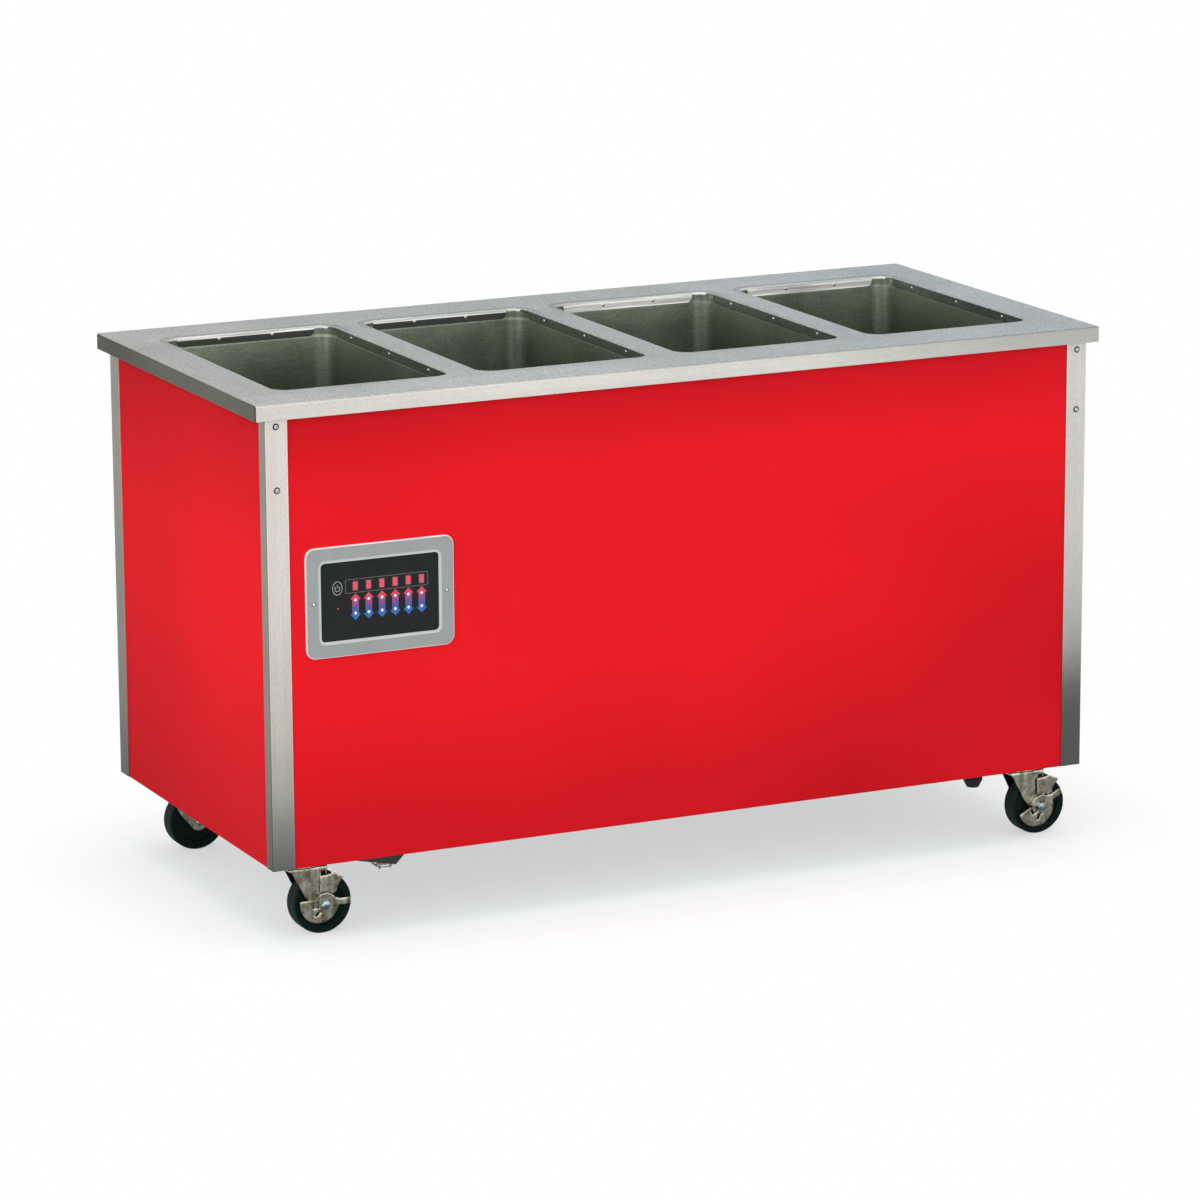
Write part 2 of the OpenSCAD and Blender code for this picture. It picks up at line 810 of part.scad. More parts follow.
// The outlet's way: a nipple through the guard, an elbow and a straight end that points down
module outlet_way(r, end_radius, extra) {
    x_rod(r, valve_half, nipple_end);
    translate([nipple_end, 0, -outlet_bend]) rotate([90, 0, 0]) {
        rotate_extrude(angle = 90) translate([outlet_bend, 0]) circle(r);
    }
    translate([nipple_end + outlet_bend, 0, -outlet_bend - outlet_length - extra]) {
        cylinder(r = end_radius, h = outlet_length + extra);
    }
}

module valve_body() color(BRASS) at_valve() difference() {
    union() {
        x_hex(valve_hex, -valve_half, -valve_half + valve_hex_length);
        x_rod(valve_hex * 0.6, -valve_half + valve_hex_length, valve_half - valve_hex_length);
        x_hex(valve_hex, valve_half - valve_hex_length, valve_half);
        outlet_way(nipple_radius, outlet_radius, 0);
        translate([0, 0, neck_bottom]) cylinder(r = neck_radius, h = -neck_bottom);
        translate([0, 0, neck_bottom]) cylinder(r = neck_radius + 1.8, h = neck_hex_height, $fn = 6);
    }
    x_rod(valve_bore_radius, -valve_half - past, valve_half);
    outlet_way(valve_bore_radius, valve_bore_radius, past);
    sphere(valve_ball_radius + passing_gap);
    translate([0, 0, neck_bottom - past]) cylinder(r = stem_radius + running_clearance, h = -neck_bottom);
}

module valve_ball() color(STEEL) at_valve() rotate([0, 0, 90]) difference() {
    sphere(valve_ball_radius);
    x_rod(valve_bore_radius, -valve_ball_radius, valve_ball_radius);
    translate([0, 0, -valve_ball_radius - past]) {
        cylinder(r = stem_radius + passing_gap, h = stem_bite + past);
    }
}

module loop_outline(length, width) {
    square([length - width, width], center = true);
    for (s = [-1, 1]) {
        translate([s * (length - width) / 2, 0]) circle(d = width);
    }
}

module valve_handle() color(STEEL) at_valve() rotate([0, 0, 90]) {
    bar = handle_sheet;
    translate([0, 0, handle_top - bar]) linear_extrude(bar) {
        difference() {
            loop_outline(handle_length, handle_width);
            loop_outline(handle_length - 2 * handle_bar, handle_width - 2 * handle_bar);
        }
        square([handle_bar + 2, handle_width - handle_bar], center = true);
        circle(stem_radius + 3);
    }
    translate([0, 0, handle_top - bar / 2]) {
        cylinder(r = stem_radius, h = -handle_top + bar / 2 - valve_ball_radius + stem_bite - passing_gap);
    }
}

// Side outline of the valve guard: upright left end, sloping floor, right end slanted at 45 degrees
module guard_outline(inset, top) {
    slope = tan(guard_slope);
    floor_rise = inset * sqrt(1 + slope * slope) + guard_low_z;
    end_rise = inset * sqrt(2) + guard_low_z;
    corner = (floor_rise - end_rise) / (1 + slope);
    polygon([
        [guard_left_x + inset, top],
        [guard_left_x + inset, floor_rise + (guard_low_x - guard_left_x - inset) * slope],
        [guard_low_x + corner, end_rise + corner],
        [guard_low_x + top - end_rise, top],
    ]);
}

module valve_guard() color(GREY) difference() {
    union() {
        translate([0, drop_y + guard_half, 0]) rotate([90, 0, 0]) linear_extrude(2 * guard_half) {
            guard_outline(0, deck_bottom);
        }
        for (s = [-1, 1]) {
            lip_y = drop_y + s * (guard_half + guard_lip / 2) - guard_lip / 2;
            translate([guard_left_x, lip_y, deck_bottom - guard_sheet]) {
                cube([guard_low_x - guard_left_x, guard_lip, guard_sheet]);
            }
        }
    }
    translate([0, drop_y + guard_half - guard_sheet, 0]) rotate([90, 0, 0]) {
        linear_extrude(2 * (guard_half - guard_sheet)) guard_outline(guard_sheet, deck_bottom + past);
    }
    at_valve() x_rod(nipple_radius + 2, valve_half, nipple_end + outlet_bend);
    at_valve() translate([0, 0, neck_bottom - past]) cylinder(r = neck_radius + 4, h = -neck_bottom);
}

// Body panels and posts

// Panel in its own plane: sheet with its outer face on z = 0, returns along both ends of x
module panel(length) {
    low = base_height;
    difference() {
        translate([-length / 2, low, -panel_sheet]) cube([length, panel_top - low, panel_sheet]);
        children();
    }
    return_low = deck_top + return_gap;
    return_high = top_underside - upper_rail_height - return_gap;
    for (s = [-1, 1]) {
        translate([s * (length - panel_sheet) / 2 - panel_sheet / 2, return_low, -panel_return]) {
            cube([panel_sheet, return_high - return_low, panel_return - panel_sheet / 2]);
        }
    }
}

module long_side_panel() translate([0, -panel_face_y, 0]) rotate([90, 0, 0]) panel(long_panel) children();

module front_panel() color(RED) long_side_panel() {
    translate([control_x + cutout_shift, control_z, -panel_sheet - past]) {
        linear_extrude(panel_sheet + 2 * past) rounded_rect(cutout_width, cutout_height, window_radius);
    }
    for (s = [-1, 1]) {
        translate([control_x + s * bezel_screw_x, control_z, -panel_sheet - past]) {
            cylinder(r = bezel_screw_radius + seat_gap / 3, h = panel_sheet + 2 * past);
        }
    }
}

module back_panel() color(RED) rotate([0, 0, 180]) long_side_panel();

module end_panel() {
    translate([panel_face_x, (end_panel_front + end_panel_back) / 2, 0]) rotate([90, 0, 90]) {
        panel(end_panel_back - end_panel_front);
    }
}

module left_end_panel() color(RED) mirror([1, 0, 0]) end_panel();
module right_end_panel() color(RED) end_panel();

module at_post_screws(x_from_corner) {
    for (drop = [upper_screw_drop, lower_screw_drop]) {
        translate([x_from_corner, 0, counter_height - fascia_height - drop]) children();
    }
}

// Front left post, its legs along the front and along the end face
module post(end_return) translate([-end_x, -face_y, 0]) difference() {
    translate([0, 0, base_height]) linear_extrude(top_underside - base_height) {
        angle_profile(post_flange, end_return, post_sheet, post_bend_radius);
    }
    at_post_screws(post_flange / 2) y_rod(screw_shank_radius + seat_gap / 3, -past, post_sheet + past);
}

module post_front_left() color(STEEL) post(post_front_return);
module post_front_right() color(STEEL) mirror([1, 0, 0]) post(post_front_return);
module post_back_left() color(STEEL) mirror([0, 1, 0]) post(post_back_return);
module post_back_right() color(STEEL) rotate([0, 0, 180]) post(post_back_return);

// Truss-head screw along +Y with its head's seat at the origin and a rivet nut behind the sheet
module post_screw() {
    rotate([90, 0, 0]) difference() {
        rivet_head(screw_head_radius, screw_head_radius * 0.42);
        for (turn = [0, 90]) {
            rotate([0, 0, turn + 20]) translate([-2.6, -0.5, 0.8]) cube([5.2, 1, 4]);
        }
    }
    y_rod(screw_shank_radius, -seat_gap / 3, post_sheet + 9);
    y_rod(nut_radius, post_sheet, post_sheet + 8);
}

module panel_screws() color(STEEL) {
    for (sx = [0, 1], sy = [0, 1]) {
        mirror([sx, 0, 0]) mirror([0, sy, 0]) translate([-end_x, -face_y, 0]) {
            at_post_screws(post_flange / 2) post_screw();
        }
    }
    for (s = [-1, 1]) {
        translate([control_x + s * bezel_screw_x, -panel_face_y - bezel_thickness, control_z]) {
            rotate([90, 0, 0]) rivet_head(bezel_screw_radius + 1.4, 1.2);
            y_rod(bezel_screw_radius, -seat_gap / 3, bezel_thickness + 6);
            translate([0, bezel_thickness + panel_sheet, 0]) y_hex(2 * bezel_screw_radius + 3, 0, 3);
        }
    }
}

// Rail section: upright leg along +y and level leg along +x from the origin
module rail_profile(level, upright, t) {
    square([level, t]);
    square([t, upright]);
}

// Rail under the top along +X, its upright leg outwards on the -Y side
module upper_rail(length) {
    translate([0, 0, top_underside]) mirror([0, 0, 1]) rotate([90, 0, 90]) {
        linear_extrude(length, center = true) rail_profile(upper_rail_width, upper_rail_height, rail_sheet);
    }
}

module upper_rails() color(DULL_STEEL) {
    for (turn = [0, 180]) {
        rotate([0, 0, turn]) difference() {
            translate([0, -panel_back_y, 0]) upper_rail(2 * (panel_back_x - seat_gap));
            for (s = [-1, 1]) {
                translate([s * (end_x - post_flange / 2), -face_y, upper_screw_z]) {
                    y_rod(nut_radius + seat_gap, 0, 12);
                }
            }
        }
    }
    for (turn = [90, 270]) {
        rotate([0, 0, turn]) translate([0, -panel_back_x, 0]) {
            upper_rail(2 * (panel_back_y - upper_rail_width - seat_gap));
        }
    }
}

// Base

module long_base_rail() translate([0, -panel_back_y, base_height]) rotate([90, 0, 90]) {
    linear_extrude(2 * (channel_inner_x - seat_gap), center = true) {
        rail_profile(base_rail_width, base_rail_height, base_sheet);
        translate([0, base_rail_height - base_sheet]) square([base_rail_width / 4, base_sheet]);
    }
}

module caster_channel() {
    half = channel_half;
    length = 2 * (panel_back_y - seat_gap);
    difference() {
        translate([-half, -length / 2, base_height]) cube([2 * half, length, base_rail_height]);
        translate([-half + base_sheet, -length / 2 - past, base_height + base_sheet]) {
            cube([2 * (half - base_sheet), length + 2 * past, base_rail_height]);
        }
        for (s = [-1, 1]) {
            translate([0, s * caster_y, 0]) at_caster_bolts() {
                translate([0, 0, base_height - past]) {
                    cylinder(r = bolt_radius + seat_gap, h = base_sheet + 2 * past);
                }
            }
        }
    }
}

module end_base_rail() {
    level = panel_back_x - caster_x - channel_half - seat_gap;
    rotate([0, 0, -90]) translate([0, -panel_back_x, base_height]) rotate([90, 0, 90]) {
        linear_extrude(2 * (panel_face_y - seat_gap), center = true) {
            rail_profile(level, base_rail_height, base_sheet);
        }
    }
}

module base_rails() color(DULL_STEEL) {
    difference() {
        long_base_rail();
        translate([gland_x, gland_y, base_height - past]) {
            cylinder(r = gland_thread + seat_gap, h = base_sheet + 2 * past);
        }
    }
    rotate([0, 0, 180]) long_base_rail();
    for (s = [0, 1]) {
        mirror([s, 0, 0]) translate([caster_x, 0, 0]) caster_channel();
        mirror([s, 0, 0]) mirror([1, 0, 0]) end_base_rail();
    }
}

module base_deck() color(DULL_STEEL) difference() {
    translate([0, 0, deck_bottom + deck_sheet / 2]) {
        cube([2 * (panel_back_x - seat_gap), 2 * (panel_back_y - seat_gap), deck_sheet], center = true);
    }
    translate([drop_x, drop_y, deck_bottom - past]) cylinder(r = pipe_radius + 3, h = deck_sheet + 2 * past);
    translate([gland_x, gland_y, deck_bottom - past]) {
        cylinder(r = cord_radius + 4, h = deck_sheet + 2 * past);
    }
}

// Cord entry: lock nut inside the rail, hexagon and tapered clamping nut below it
module cord_gland() color(BLACK) translate([gland_x, gland_y, base_height]) difference() {
    taper = (gland_drop - gland_hex_height) * 0.75;
    union() {
        translate([0, 0, base_sheet]) cylinder(r = gland_thread + 5, h = gland_nut_height, $fn = 6);
        translate([0, 0, -gland_hex_height / 2]) {
            cylinder(r = gland_thread, h = gland_hex_height / 2 + base_sheet + gland_rise);
        }
        translate([0, 0, -gland_hex_height]) cylinder(r = gland_clamp + 2.5, h = gland_hex_height, $fn = 6);
        translate([0, 0, taper - gland_drop]) cylinder(r = gland_clamp, h = gland_drop - taper - past);
        translate([0, 0, -gland_drop]) cylinder(r1 = gland_tip, r2 = gland_clamp, h = taper);
    }
    translate([0, 0, -gland_drop - past]) cylinder(r = cord_radius, h = gland_drop + base_rail_height);
}

// Switchgear on the deck: mounting rail and one contactor for each well
module contactors() {
    rotate([90, 0, 90]) linear_extrude(4.4 * switch_pitch, center = true) {
        translate([-din_width / 2, din_height - 1]) square([din_width, 1]);
        translate([-din_foot / 2, 0]) square([din_foot, 1]);
        for (s = [-1, 1]) {
            translate([s * (din_foot - 1) / 2 - 0.5, 0]) square([1, din_height]);
        }
    }
    for (k = [0:3]) {
        translate([(k - 1.5) * switch_pitch - switch_width / 2, 0, din_height]) {
            translate([0, -switch_depth / 2, 0]) cube([switch_width, switch_depth, switch_base]);
            translate([0, -switch_cap_depth / 2, switch_base]) {
                cube([switch_width, switch_cap_depth, switch_cap]);
            }
        }
    }
}

module terminal_strip() difference() {
    length = terminal_count * terminal_pitch;
    third = terminal_depth / 3;
    translate([-length / 2, 0, 0]) cube([length, terminal_depth, terminal_height]);
    for (k = [0:terminal_count - 1], y = [-past, terminal_depth - third + past]) {
        translate([(k + 0.15) * terminal_pitch - length / 2, y, terminal_height / 2]) {
            cube([terminal_pitch * 0.7, third, terminal_height]);
        }
    }
}

module power_block() color([0.75, 0.75, 0.72]) translate([gland_x, switch_y, deck_top]) {
    contactors();
    translate([0, -switch_depth / 2 - terminal_gap - terminal_depth, 0]) terminal_strip();
}

// Control panel

module at_control() translate([control_x, -panel_face_y, control_z]) rotate([90, 0, 0]) children();

module control_bezel() color([0.68, 0.70, 0.70]) at_control() difference() {
    translate([0, 0, bezel_thickness]) mirror([0, 0, 1]) {
        soft_block(bezel_width, bezel_height, bezel_thickness, bezel_radius, bezel_edge);
    }
    translate([0, 0, -past]) linear_extrude(bezel_thickness + 2 * past) {
        rounded_rect(window_width, window_height, window_radius);
    }
    translate([0, 0, bezel_thickness - bezel_step]) linear_extrude(bezel_thickness) {
        rounded_rect(
            window_width + 2 * bezel_step_width, window_height + 2 * bezel_step_width,
            window_radius + bezel_step_width
        );
    }
    translate([0, 0, -past]) linear_extrude(overlay_thickness + seat_gap / 3 + past) {
        rounded_rect(overlay_width + 2 * seat_gap, overlay_height + 2 * seat_gap, window_radius + 1);
    }
    for (s = [-1, 1]) {
        translate([s * bezel_screw_x, 0, -past]) {
            cylinder(r = bezel_screw_radius + seat_gap / 3, h = bezel_thickness + 2 * past);
        }
    }
}

module control_overlay() color(BLACK) at_control() linear_extrude(overlay_thickness) {
    rounded_rect(overlay_width, overlay_height, window_radius + 1);
}

module at_housing() translate([control_x, -panel_back_y, control_z]) rotate([-90, 0, 0]) children();

module control_housing() color([0.60, 0.62, 0.63]) at_housing() difference() {
    union() {
        linear_extrude(housing_wall) {
            rounded_rect(housing_width + 2 * housing_flange, housing_height + 2 * housing_flange, 4);
        }
        linear_extrude(housing_depth) rounded_rect(housing_width, housing_height, 4);
    }
    translate([0, 0, -past]) linear_extrude(housing_depth - housing_wall + past) {
        rounded_rect(housing_width - 2 * housing_wall, housing_height - 2 * housing_wall, 3);
    }
    translate([0, 0, housing_depth / 2]) x_rod(cord_radius, 0, housing_width);
}

// Circuit board on four posts, with six displays in front, relays and a transformer behind
module control_board() color(GREEN) at_housing() {
    board_back = board_front + board_sheet;
    translate([cutout_shift, 0, 0]) {
        translate([0, 0, board_front]) linear_extrude(board_sheet) rounded_rect(board_width, board_height, 3);
        for (sx = [-1, 1], sy = [-1, 1]) {
            post_x = sx * (board_width / 2 - board_post_inset);
            translate([post_x, sy * (board_height / 2 - board_post_inset), board_back]) {
                cylinder(r = board_post_inset / 2, h = housing_depth - housing_wall - board_back);
            }
        }
        for (k = [0:2]) {
            translate([(k - 1.9) * relay_pitch, -10, board_back]) cube(RELAY);
        }
        translate([1.4 * relay_pitch, -25, board_back]) cube(TRANSFORMER);
    }
    for (k = [0:5]) {
        x = display_x + (k - 2.5) * display_pitch - display_width / 2;
        translate([x, -display_z - display_height / 2, board_front - display_depth]) {
            cube([display_width, display_height, display_depth]);
        }
    }
}

// Casters

module at_caster(i) translate([CASTER_PLACES[i][0], CASTER_PLACES[i][1], 0]) children();
module at_axle(i) at_caster(i) translate([caster_trail, 0, axle_z]) children();

module at_caster_bolts() {
    for (sx = [-1, 1], sy = [-1, 1]) {
        translate([sx * bolt_spacing_x / 2, sy * bolt_spacing_y / 2, 0]) children();
    }
}

module caster_bolts() color(ZINC) for (i = [0:3]) at_caster(i) at_caster_bolts() {
    across = 1.65 * bolt_radius / cos(30);
    head = 1.3 * bolt_radius;
    nut = 1.6 * bolt_radius;
    grip = base_height + base_sheet - plate_bottom;
    translate([0, 0, plate_bottom - head]) cylinder(r = across, h = head, $fn = 6);
    translate([0, 0, plate_bottom - past]) cylinder(r = bolt_radius, h = past + grip + nut + 3);
    translate([0, 0, plate_bottom + grip]) cylinder(r = across, h = nut, $fn = 6);
}

module ring(outer, inner, h) difference() {
    cylinder(r = outer, h = h);
    translate([0, 0, -past]) cylinder(r = inner, h = h + 2 * past);
}

module caster_plate() {
    slot = 2.5;
    difference() {
        translate([0, 0, plate_bottom]) linear_extrude(plate_thickness) {
            rounded_rect(plate_length, plate_width, 6);
        }
        translate([0, 0, plate_bottom - past]) at_caster_bolts() linear_extrude(plate_thickness + 2 * past) {
            loop_outline(2 * (bolt_radius + seat_gap + slot), 2 * (bolt_radius + seat_gap));
        }
    }
    translate([0, 0, plate_bottom - race_pad]) {
        ring(race_radius, king_pin_radius + 4, race_pad + past);
    }
    translate([0, 0, ball_z - race_pad]) {
        ring(race_radius + 2.5, race_radius, plate_bottom - ball_z + race_pad + past);
    }
    translate([0, 0, crown_bottom - passing_gap - 3]) {
        cylinder(r = king_pin_radius, h = plate_bottom - crown_bottom + passing_gap + 4);
        cylinder(r = king_pin_radius + 3.5, h = 3);
    }
}

module caster_plate_fl() color(ZINC) at_caster(0) caster_plate();
module caster_plate_fr() color(ZINC) at_caster(1) caster_plate();
module caster_plate_bl() color(ZINC) at_caster(2) caster_plate();
module caster_plate_br() color(ZINC) at_caster(3) caster_plate();

module swivel_balls() color(STEEL) for (i = [0:3]) at_caster(i) {
    for (k = [0:ball_count - 1]) {
        rotate([0, 0, k * 360 / ball_count]) translate([ball_ring_radius, 0, ball_z]) sphere(ball_radius);
    }
}

// Side outline of a fork, in the swivel axis's frame; the trailing side has a hooked lobe
module fork_outline() {
    t = caster_trail;
    fillet = 18;
    polygon([
        [-crown_radius, crown_top + race_pad], [crown_radius, crown_top + race_pad],
        [crown_radius, crown_bottom], [t + 11, crown_bottom],
        [t + 11, crown_bottom - 12.4], [t + 3.5, crown_bottom - 12.4], [t + 3.5, crown_bottom - 6.4],
        [t - 4.5, crown_bottom - 6.4], [t - 4.5, crown_bottom - 14.4], [t + 15, axle_z + 5.5],
        [t, axle_z], [t - 14, axle_z - 7.5], [t - 32.5, axle_z + 15],
        [-fork_lead, crown_bottom], [-crown_radius, crown_bottom],
    ]);
    translate([t, axle_z]) circle(leg_end_radius);
    difference() {
        polygon([
            [-fork_lead - 0.62 * fillet, crown_bottom + 0.01], [past - fork_lead, crown_bottom + 0.01],
            [-fork_lead + 0.28 * fillet, crown_bottom - 0.55 * fillet],
        ]);
        translate([-fork_lead - 0.62 * fillet, crown_bottom - fillet]) circle(fillet, $fn = 96);
    }
}

// Half section of a sheet bent over the wheel, as tall as z = top
module arch(half, top, r) {
    translate([-half, 0]) square([2 * half, top - r]);
    translate([-half + r, 0]) square([2 * (half - r), top]);
    for (s = [-1, 1]) {
        translate([s * (half - r), top - r]) circle(r);
    }
}

module fork() difference() {
    union() {
        intersection() {
            rotate([90, 0, 90]) linear_extrude(4 * crown_radius, center = true) difference() {
                arch(leg_outer, crown_top, fork_bend);
                arch(leg_inner, crown_bottom, fork_bend - fork_sheet);
            }
            rotate([90, 0, 0]) linear_extrude(4 * crown_radius, center = true) fork_outline();
            union() {
                cylinder(r = crown_radius, h = crown_top + past);
                translate([0, -leg_outer - past, 0]) {
                    cube([2 * crown_radius, 2 * (leg_outer + past), axle_z + 40]);
                }
            }
        }
        translate([0, 0, crown_top - past]) ring(ball_ring_radius + 4, ball_ring_radius - 6, race_pad + past);
    }
    translate([0, 0, crown_bottom - past]) cylinder(r = king_pin_radius + running_clearance, h = 10);
    translate([caster_trail, 0, axle_z]) {
        y_rod(axle_radius + seat_gap / 6, -leg_outer - past, leg_outer + past);
    }
}

module fork_fl() color(ZINC) at_caster(0) fork();
module fork_fr() color(ZINC) at_caster(1) fork();
module fork_bl() color(ZINC) at_caster(2) fork();
module fork_br() color(ZINC) at_caster(3) fork();

// Axle bolt with its spanner sleeve, head at the back and nut at the front
module axle(front) {
    nut = 6.5;
    head = 5.3;
    across = 13;
    y_rod(axle_radius, -front - nut - 2, leg_outer + head / 2);
    y_rod(sleeve_radius, -leg_inner, leg_inner);
    y_hex(across, -front - nut, -front);
    y_hex(across, leg_outer, leg_outer + head);
}

module axle_fl() color(ZINC) at_axle(0) axle(lever_outer + passing_gap);
module axle_fr() color(ZINC) at_axle(1) axle(lever_outer + passing_gap);
module axle_bl() color(ZINC) at_axle(2) axle(leg_outer);
module axle_br() color(ZINC) at_axle(3) axle(leg_outer);

// Wheel about the Y axis: rounded tread, dished sides and a hub
module wheel() rotate([90, 0, 0]) {
    r = wheel_diameter / 2;
    half = wheel_width / 2;
    rotate_extrude($fn = 96) difference() {
        union() {
            translate([0, -half]) square([r - tread_edge, 2 * half]);
            translate([0, -half + tread_edge]) square([r, 2 * (half - tread_edge)]);
            for (s = [-1, 1]) {
                translate([r - tread_edge, s * (half - tread_edge)]) circle(tread_edge);
            }
            translate([0, -half - hub_stand]) square([hub_radius, 2 * (half + hub_stand)]);
        }
        for (s = [-1, 1]) {
            translate([hub_radius, s * half - dish_depth]) square([r * 0.72 - hub_radius, 2 * dish_depth]);
        }
        translate([-1, -r]) square([sleeve_radius + running_clearance + 1, 2 * r]);
    }
}

module wheel_fl() color(BLACK) at_axle(0) wheel();
module wheel_fr() color(BLACK) at_axle(1) wheel();
module wheel_bl() color(BLACK) at_axle(2) wheel();
module wheel_br() color(BLACK) at_axle(3) wheel();

// Brake lever: half-moon plate round the axle with a foot tab and a curved lip over the nut
module brake_lever() {
    lip = 4.5;
    difference() {
        union() {
            translate([0, -lever_inner, 0]) rotate([90, 0, 0]) linear_extrude(brake_sheet) {
                intersection() {
                    translate([-9, 3]) circle(lever_radius);
                    translate([-2 * lever_radius, lever_flat - 4 * lever_radius]) square(4 * lever_radius);
                }
                circle(lever_swing_radius);
                translate([12, -3.6]) square([32, 10.6]);
            }
            difference() {
                intersection() {
                    y_rod(lever_swing_radius, -lever_outer - lip, -lever_inner);
                    translate([-lever_radius, -lever_outer - lip - past, lever_flat]) {
                        cube([2 * lever_radius, lever_outer + lip + 2 * past, lever_radius]);
                    }
                }
                y_rod(lever_swing_radius - brake_sheet, -lever_outer - lip - past, -lever_inner + past);
            }
            translate([42, -lever_outer - lip, -3.6]) cube([2, lip + 1, 10.6]);
        }
        y_rod(axle_radius + running_clearance, -lever_outer - past, -lever_inner + past);
        translate([-21, -lever_outer - past, -5]) cube([12, brake_sheet + 2 * past, 9.5]);
        translate([-12, 0, -14]) rotate([0, 45, 0]) translate([-2, -lever_outer - past, -6]) {
            cube([4, brake_sheet + 2 * past, 12]);
        }
    }
    translate([-5, -lever_outer, -16]) rotate([90, 0, 0]) rivet_head(2, 1.2);
}

module brake_lever_fl() color(ZINC) at_axle(0) brake_lever();
module brake_lever_fr() color(ZINC) at_axle(1) rotate([0, -brake_angle, 0]) brake_lever();

// Brake shoe: side plate above the lever and a curved pad that reaches over the tread
module brake_shoe() {
    rim = wheel_diameter / 2;
    pad_inner = rim + passing_gap;
    pad_outer = pad_inner + brake_sheet;
    translate([0, -lever_inner, 0]) rotate([90, 0, 0]) linear_extrude(brake_sheet) difference() {
        polygon([
            [-7.8, 12], [14, 12], [14, 16.5], [21.6, 20.5], [22, 27], [26, 34], [33, rim - 9.3],
            [32.5, rim - 7.8], [29, rim - 5], [14, rim + 1.8], [12, rim - 0.8], [4.5, rim - 2.3],
            [-7.8, rim - 3.3],
        ]);
        circle(lever_swing_radius + passing_gap + 1);
    }
    intersection() {
        difference() {
            y_rod(pad_outer, -lever_outer, wheel_width / 2 - 3);
            y_rod(pad_inner, -lever_outer - past, wheel_width / 2);
        }
        rotate([90, 0, 0]) linear_extrude(4 * wheel_width, center = true) {
            polygon([[0, 0], [0.79 * rim, 1.024 * rim], [0.266 * rim, 1.1 * rim]]);
        }
    }
}

module brake_shoe_fl() color(ZINC) at_axle(0) brake_shoe();
module brake_shoe_fr() color(ZINC) at_axle(1) translate([0, 0, brake_lift]) brake_shoe();

countertop();
top_stiffeners();
well_1();
well_2();
well_3();
well_4();
well_jacket_1();
well_jacket_2();
well_jacket_3();
well_jacket_4();
well_insulation();
heating_elements();
well_drains();
well_strainers();
well_rivets();
drain_manifold();
valve_body();
valve_ball();
valve_handle();
valve_guard();
front_panel();
back_panel();
left_end_panel();
right_end_panel();
post_front_left();
post_front_right();
post_back_left();
post_back_right();
upper_rails();
base_rails();
base_deck();
panel_screws();
control_bezel();
control_overlay();
control_housing();
control_board();
cord_gland();
power_block();
caster_bolts();
swivel_balls();
caster_plate_fl();
caster_plate_fr();
caster_plate_bl();
caster_plate_br();
fork_fl();
fork_fr();
fork_bl();
fork_br();
axle_fl();
axle_fr();
axle_bl();
axle_br();
wheel_fl();
wheel_fr();
wheel_bl();
wheel_br();
brake_lever_fl();
brake_lever_fr();
brake_shoe_fl();
brake_shoe_fr();
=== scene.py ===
"""Looks of the hot food serving counter: materials, the control panel's print, lights and camera.

Places are in the row frame, in metres: +X along the length, -Y the side with the control panel, +Z up.
The materials follow that frame too, so painted light and shade can lie on them by place, lighter near the top
or darker near the floor.
"""
import math

import bmesh
import bpy
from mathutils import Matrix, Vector


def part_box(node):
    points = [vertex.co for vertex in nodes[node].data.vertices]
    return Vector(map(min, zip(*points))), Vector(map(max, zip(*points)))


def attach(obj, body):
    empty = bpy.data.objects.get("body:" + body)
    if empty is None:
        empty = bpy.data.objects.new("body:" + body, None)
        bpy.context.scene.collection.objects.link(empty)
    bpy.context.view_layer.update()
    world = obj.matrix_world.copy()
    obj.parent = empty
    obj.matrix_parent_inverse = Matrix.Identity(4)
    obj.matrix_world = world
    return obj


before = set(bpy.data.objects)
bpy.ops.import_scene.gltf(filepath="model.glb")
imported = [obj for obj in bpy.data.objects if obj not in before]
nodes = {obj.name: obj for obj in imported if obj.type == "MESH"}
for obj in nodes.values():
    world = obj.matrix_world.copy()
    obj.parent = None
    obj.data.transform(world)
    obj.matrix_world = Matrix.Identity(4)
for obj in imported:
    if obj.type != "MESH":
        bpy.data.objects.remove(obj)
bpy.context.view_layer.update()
scene = bpy.context.scene

MM = 0.001
LEFT, RIGHT, FRONT, UP = (-1, 0, 0), (1, 0, 0), (0, -1, 0), (0, 0, 1)
LEFT_X, FRONT_Y, TOP_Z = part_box("countertop")[0].x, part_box("countertop")[0].y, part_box("countertop")[1].z


# Camera: fitted to the photograph's corners, panel and wheels

AZIMUTH, ELEVATION, ROLL = -25.486, 13.253, -0.294
CAMERA_DISTANCE = 9.045
CAMERA_AIM = (0.0003, 0.0, 0.4238)
SENSOR_WIDTH_MM, LENS_MM = 36.0, 160.116
FARTHEST_SEEN = 60.0


def make_camera():
    azimuth, elevation = math.radians(AZIMUTH), math.radians(ELEVATION)
    level = math.cos(elevation)
    backwards = Vector((math.sin(azimuth) * level, -math.cos(azimuth) * level, math.sin(elevation)))
    data = bpy.data.cameras.new("camera")
    data.sensor_width = SENSOR_WIDTH_MM
    data.lens = LENS_MM
    data.clip_end = FARTHEST_SEEN
    camera = bpy.data.objects.new("camera", data)
    scene.collection.objects.link(camera)
    camera.rotation_euler = backwards.to_track_quat("Z", "Y").to_euler()
    camera.rotation_euler.rotate_axis("Z", math.radians(ROLL))
    camera.location = Vector(CAMERA_AIM) + backwards * CAMERA_DISTANCE
    scene.camera = camera


# Node helpers

FACING_LIMIT = 0.7
BEVEL_SAMPLES = 4
NOISE_LOW, NOISE_HIGH = 0.3, 0.7


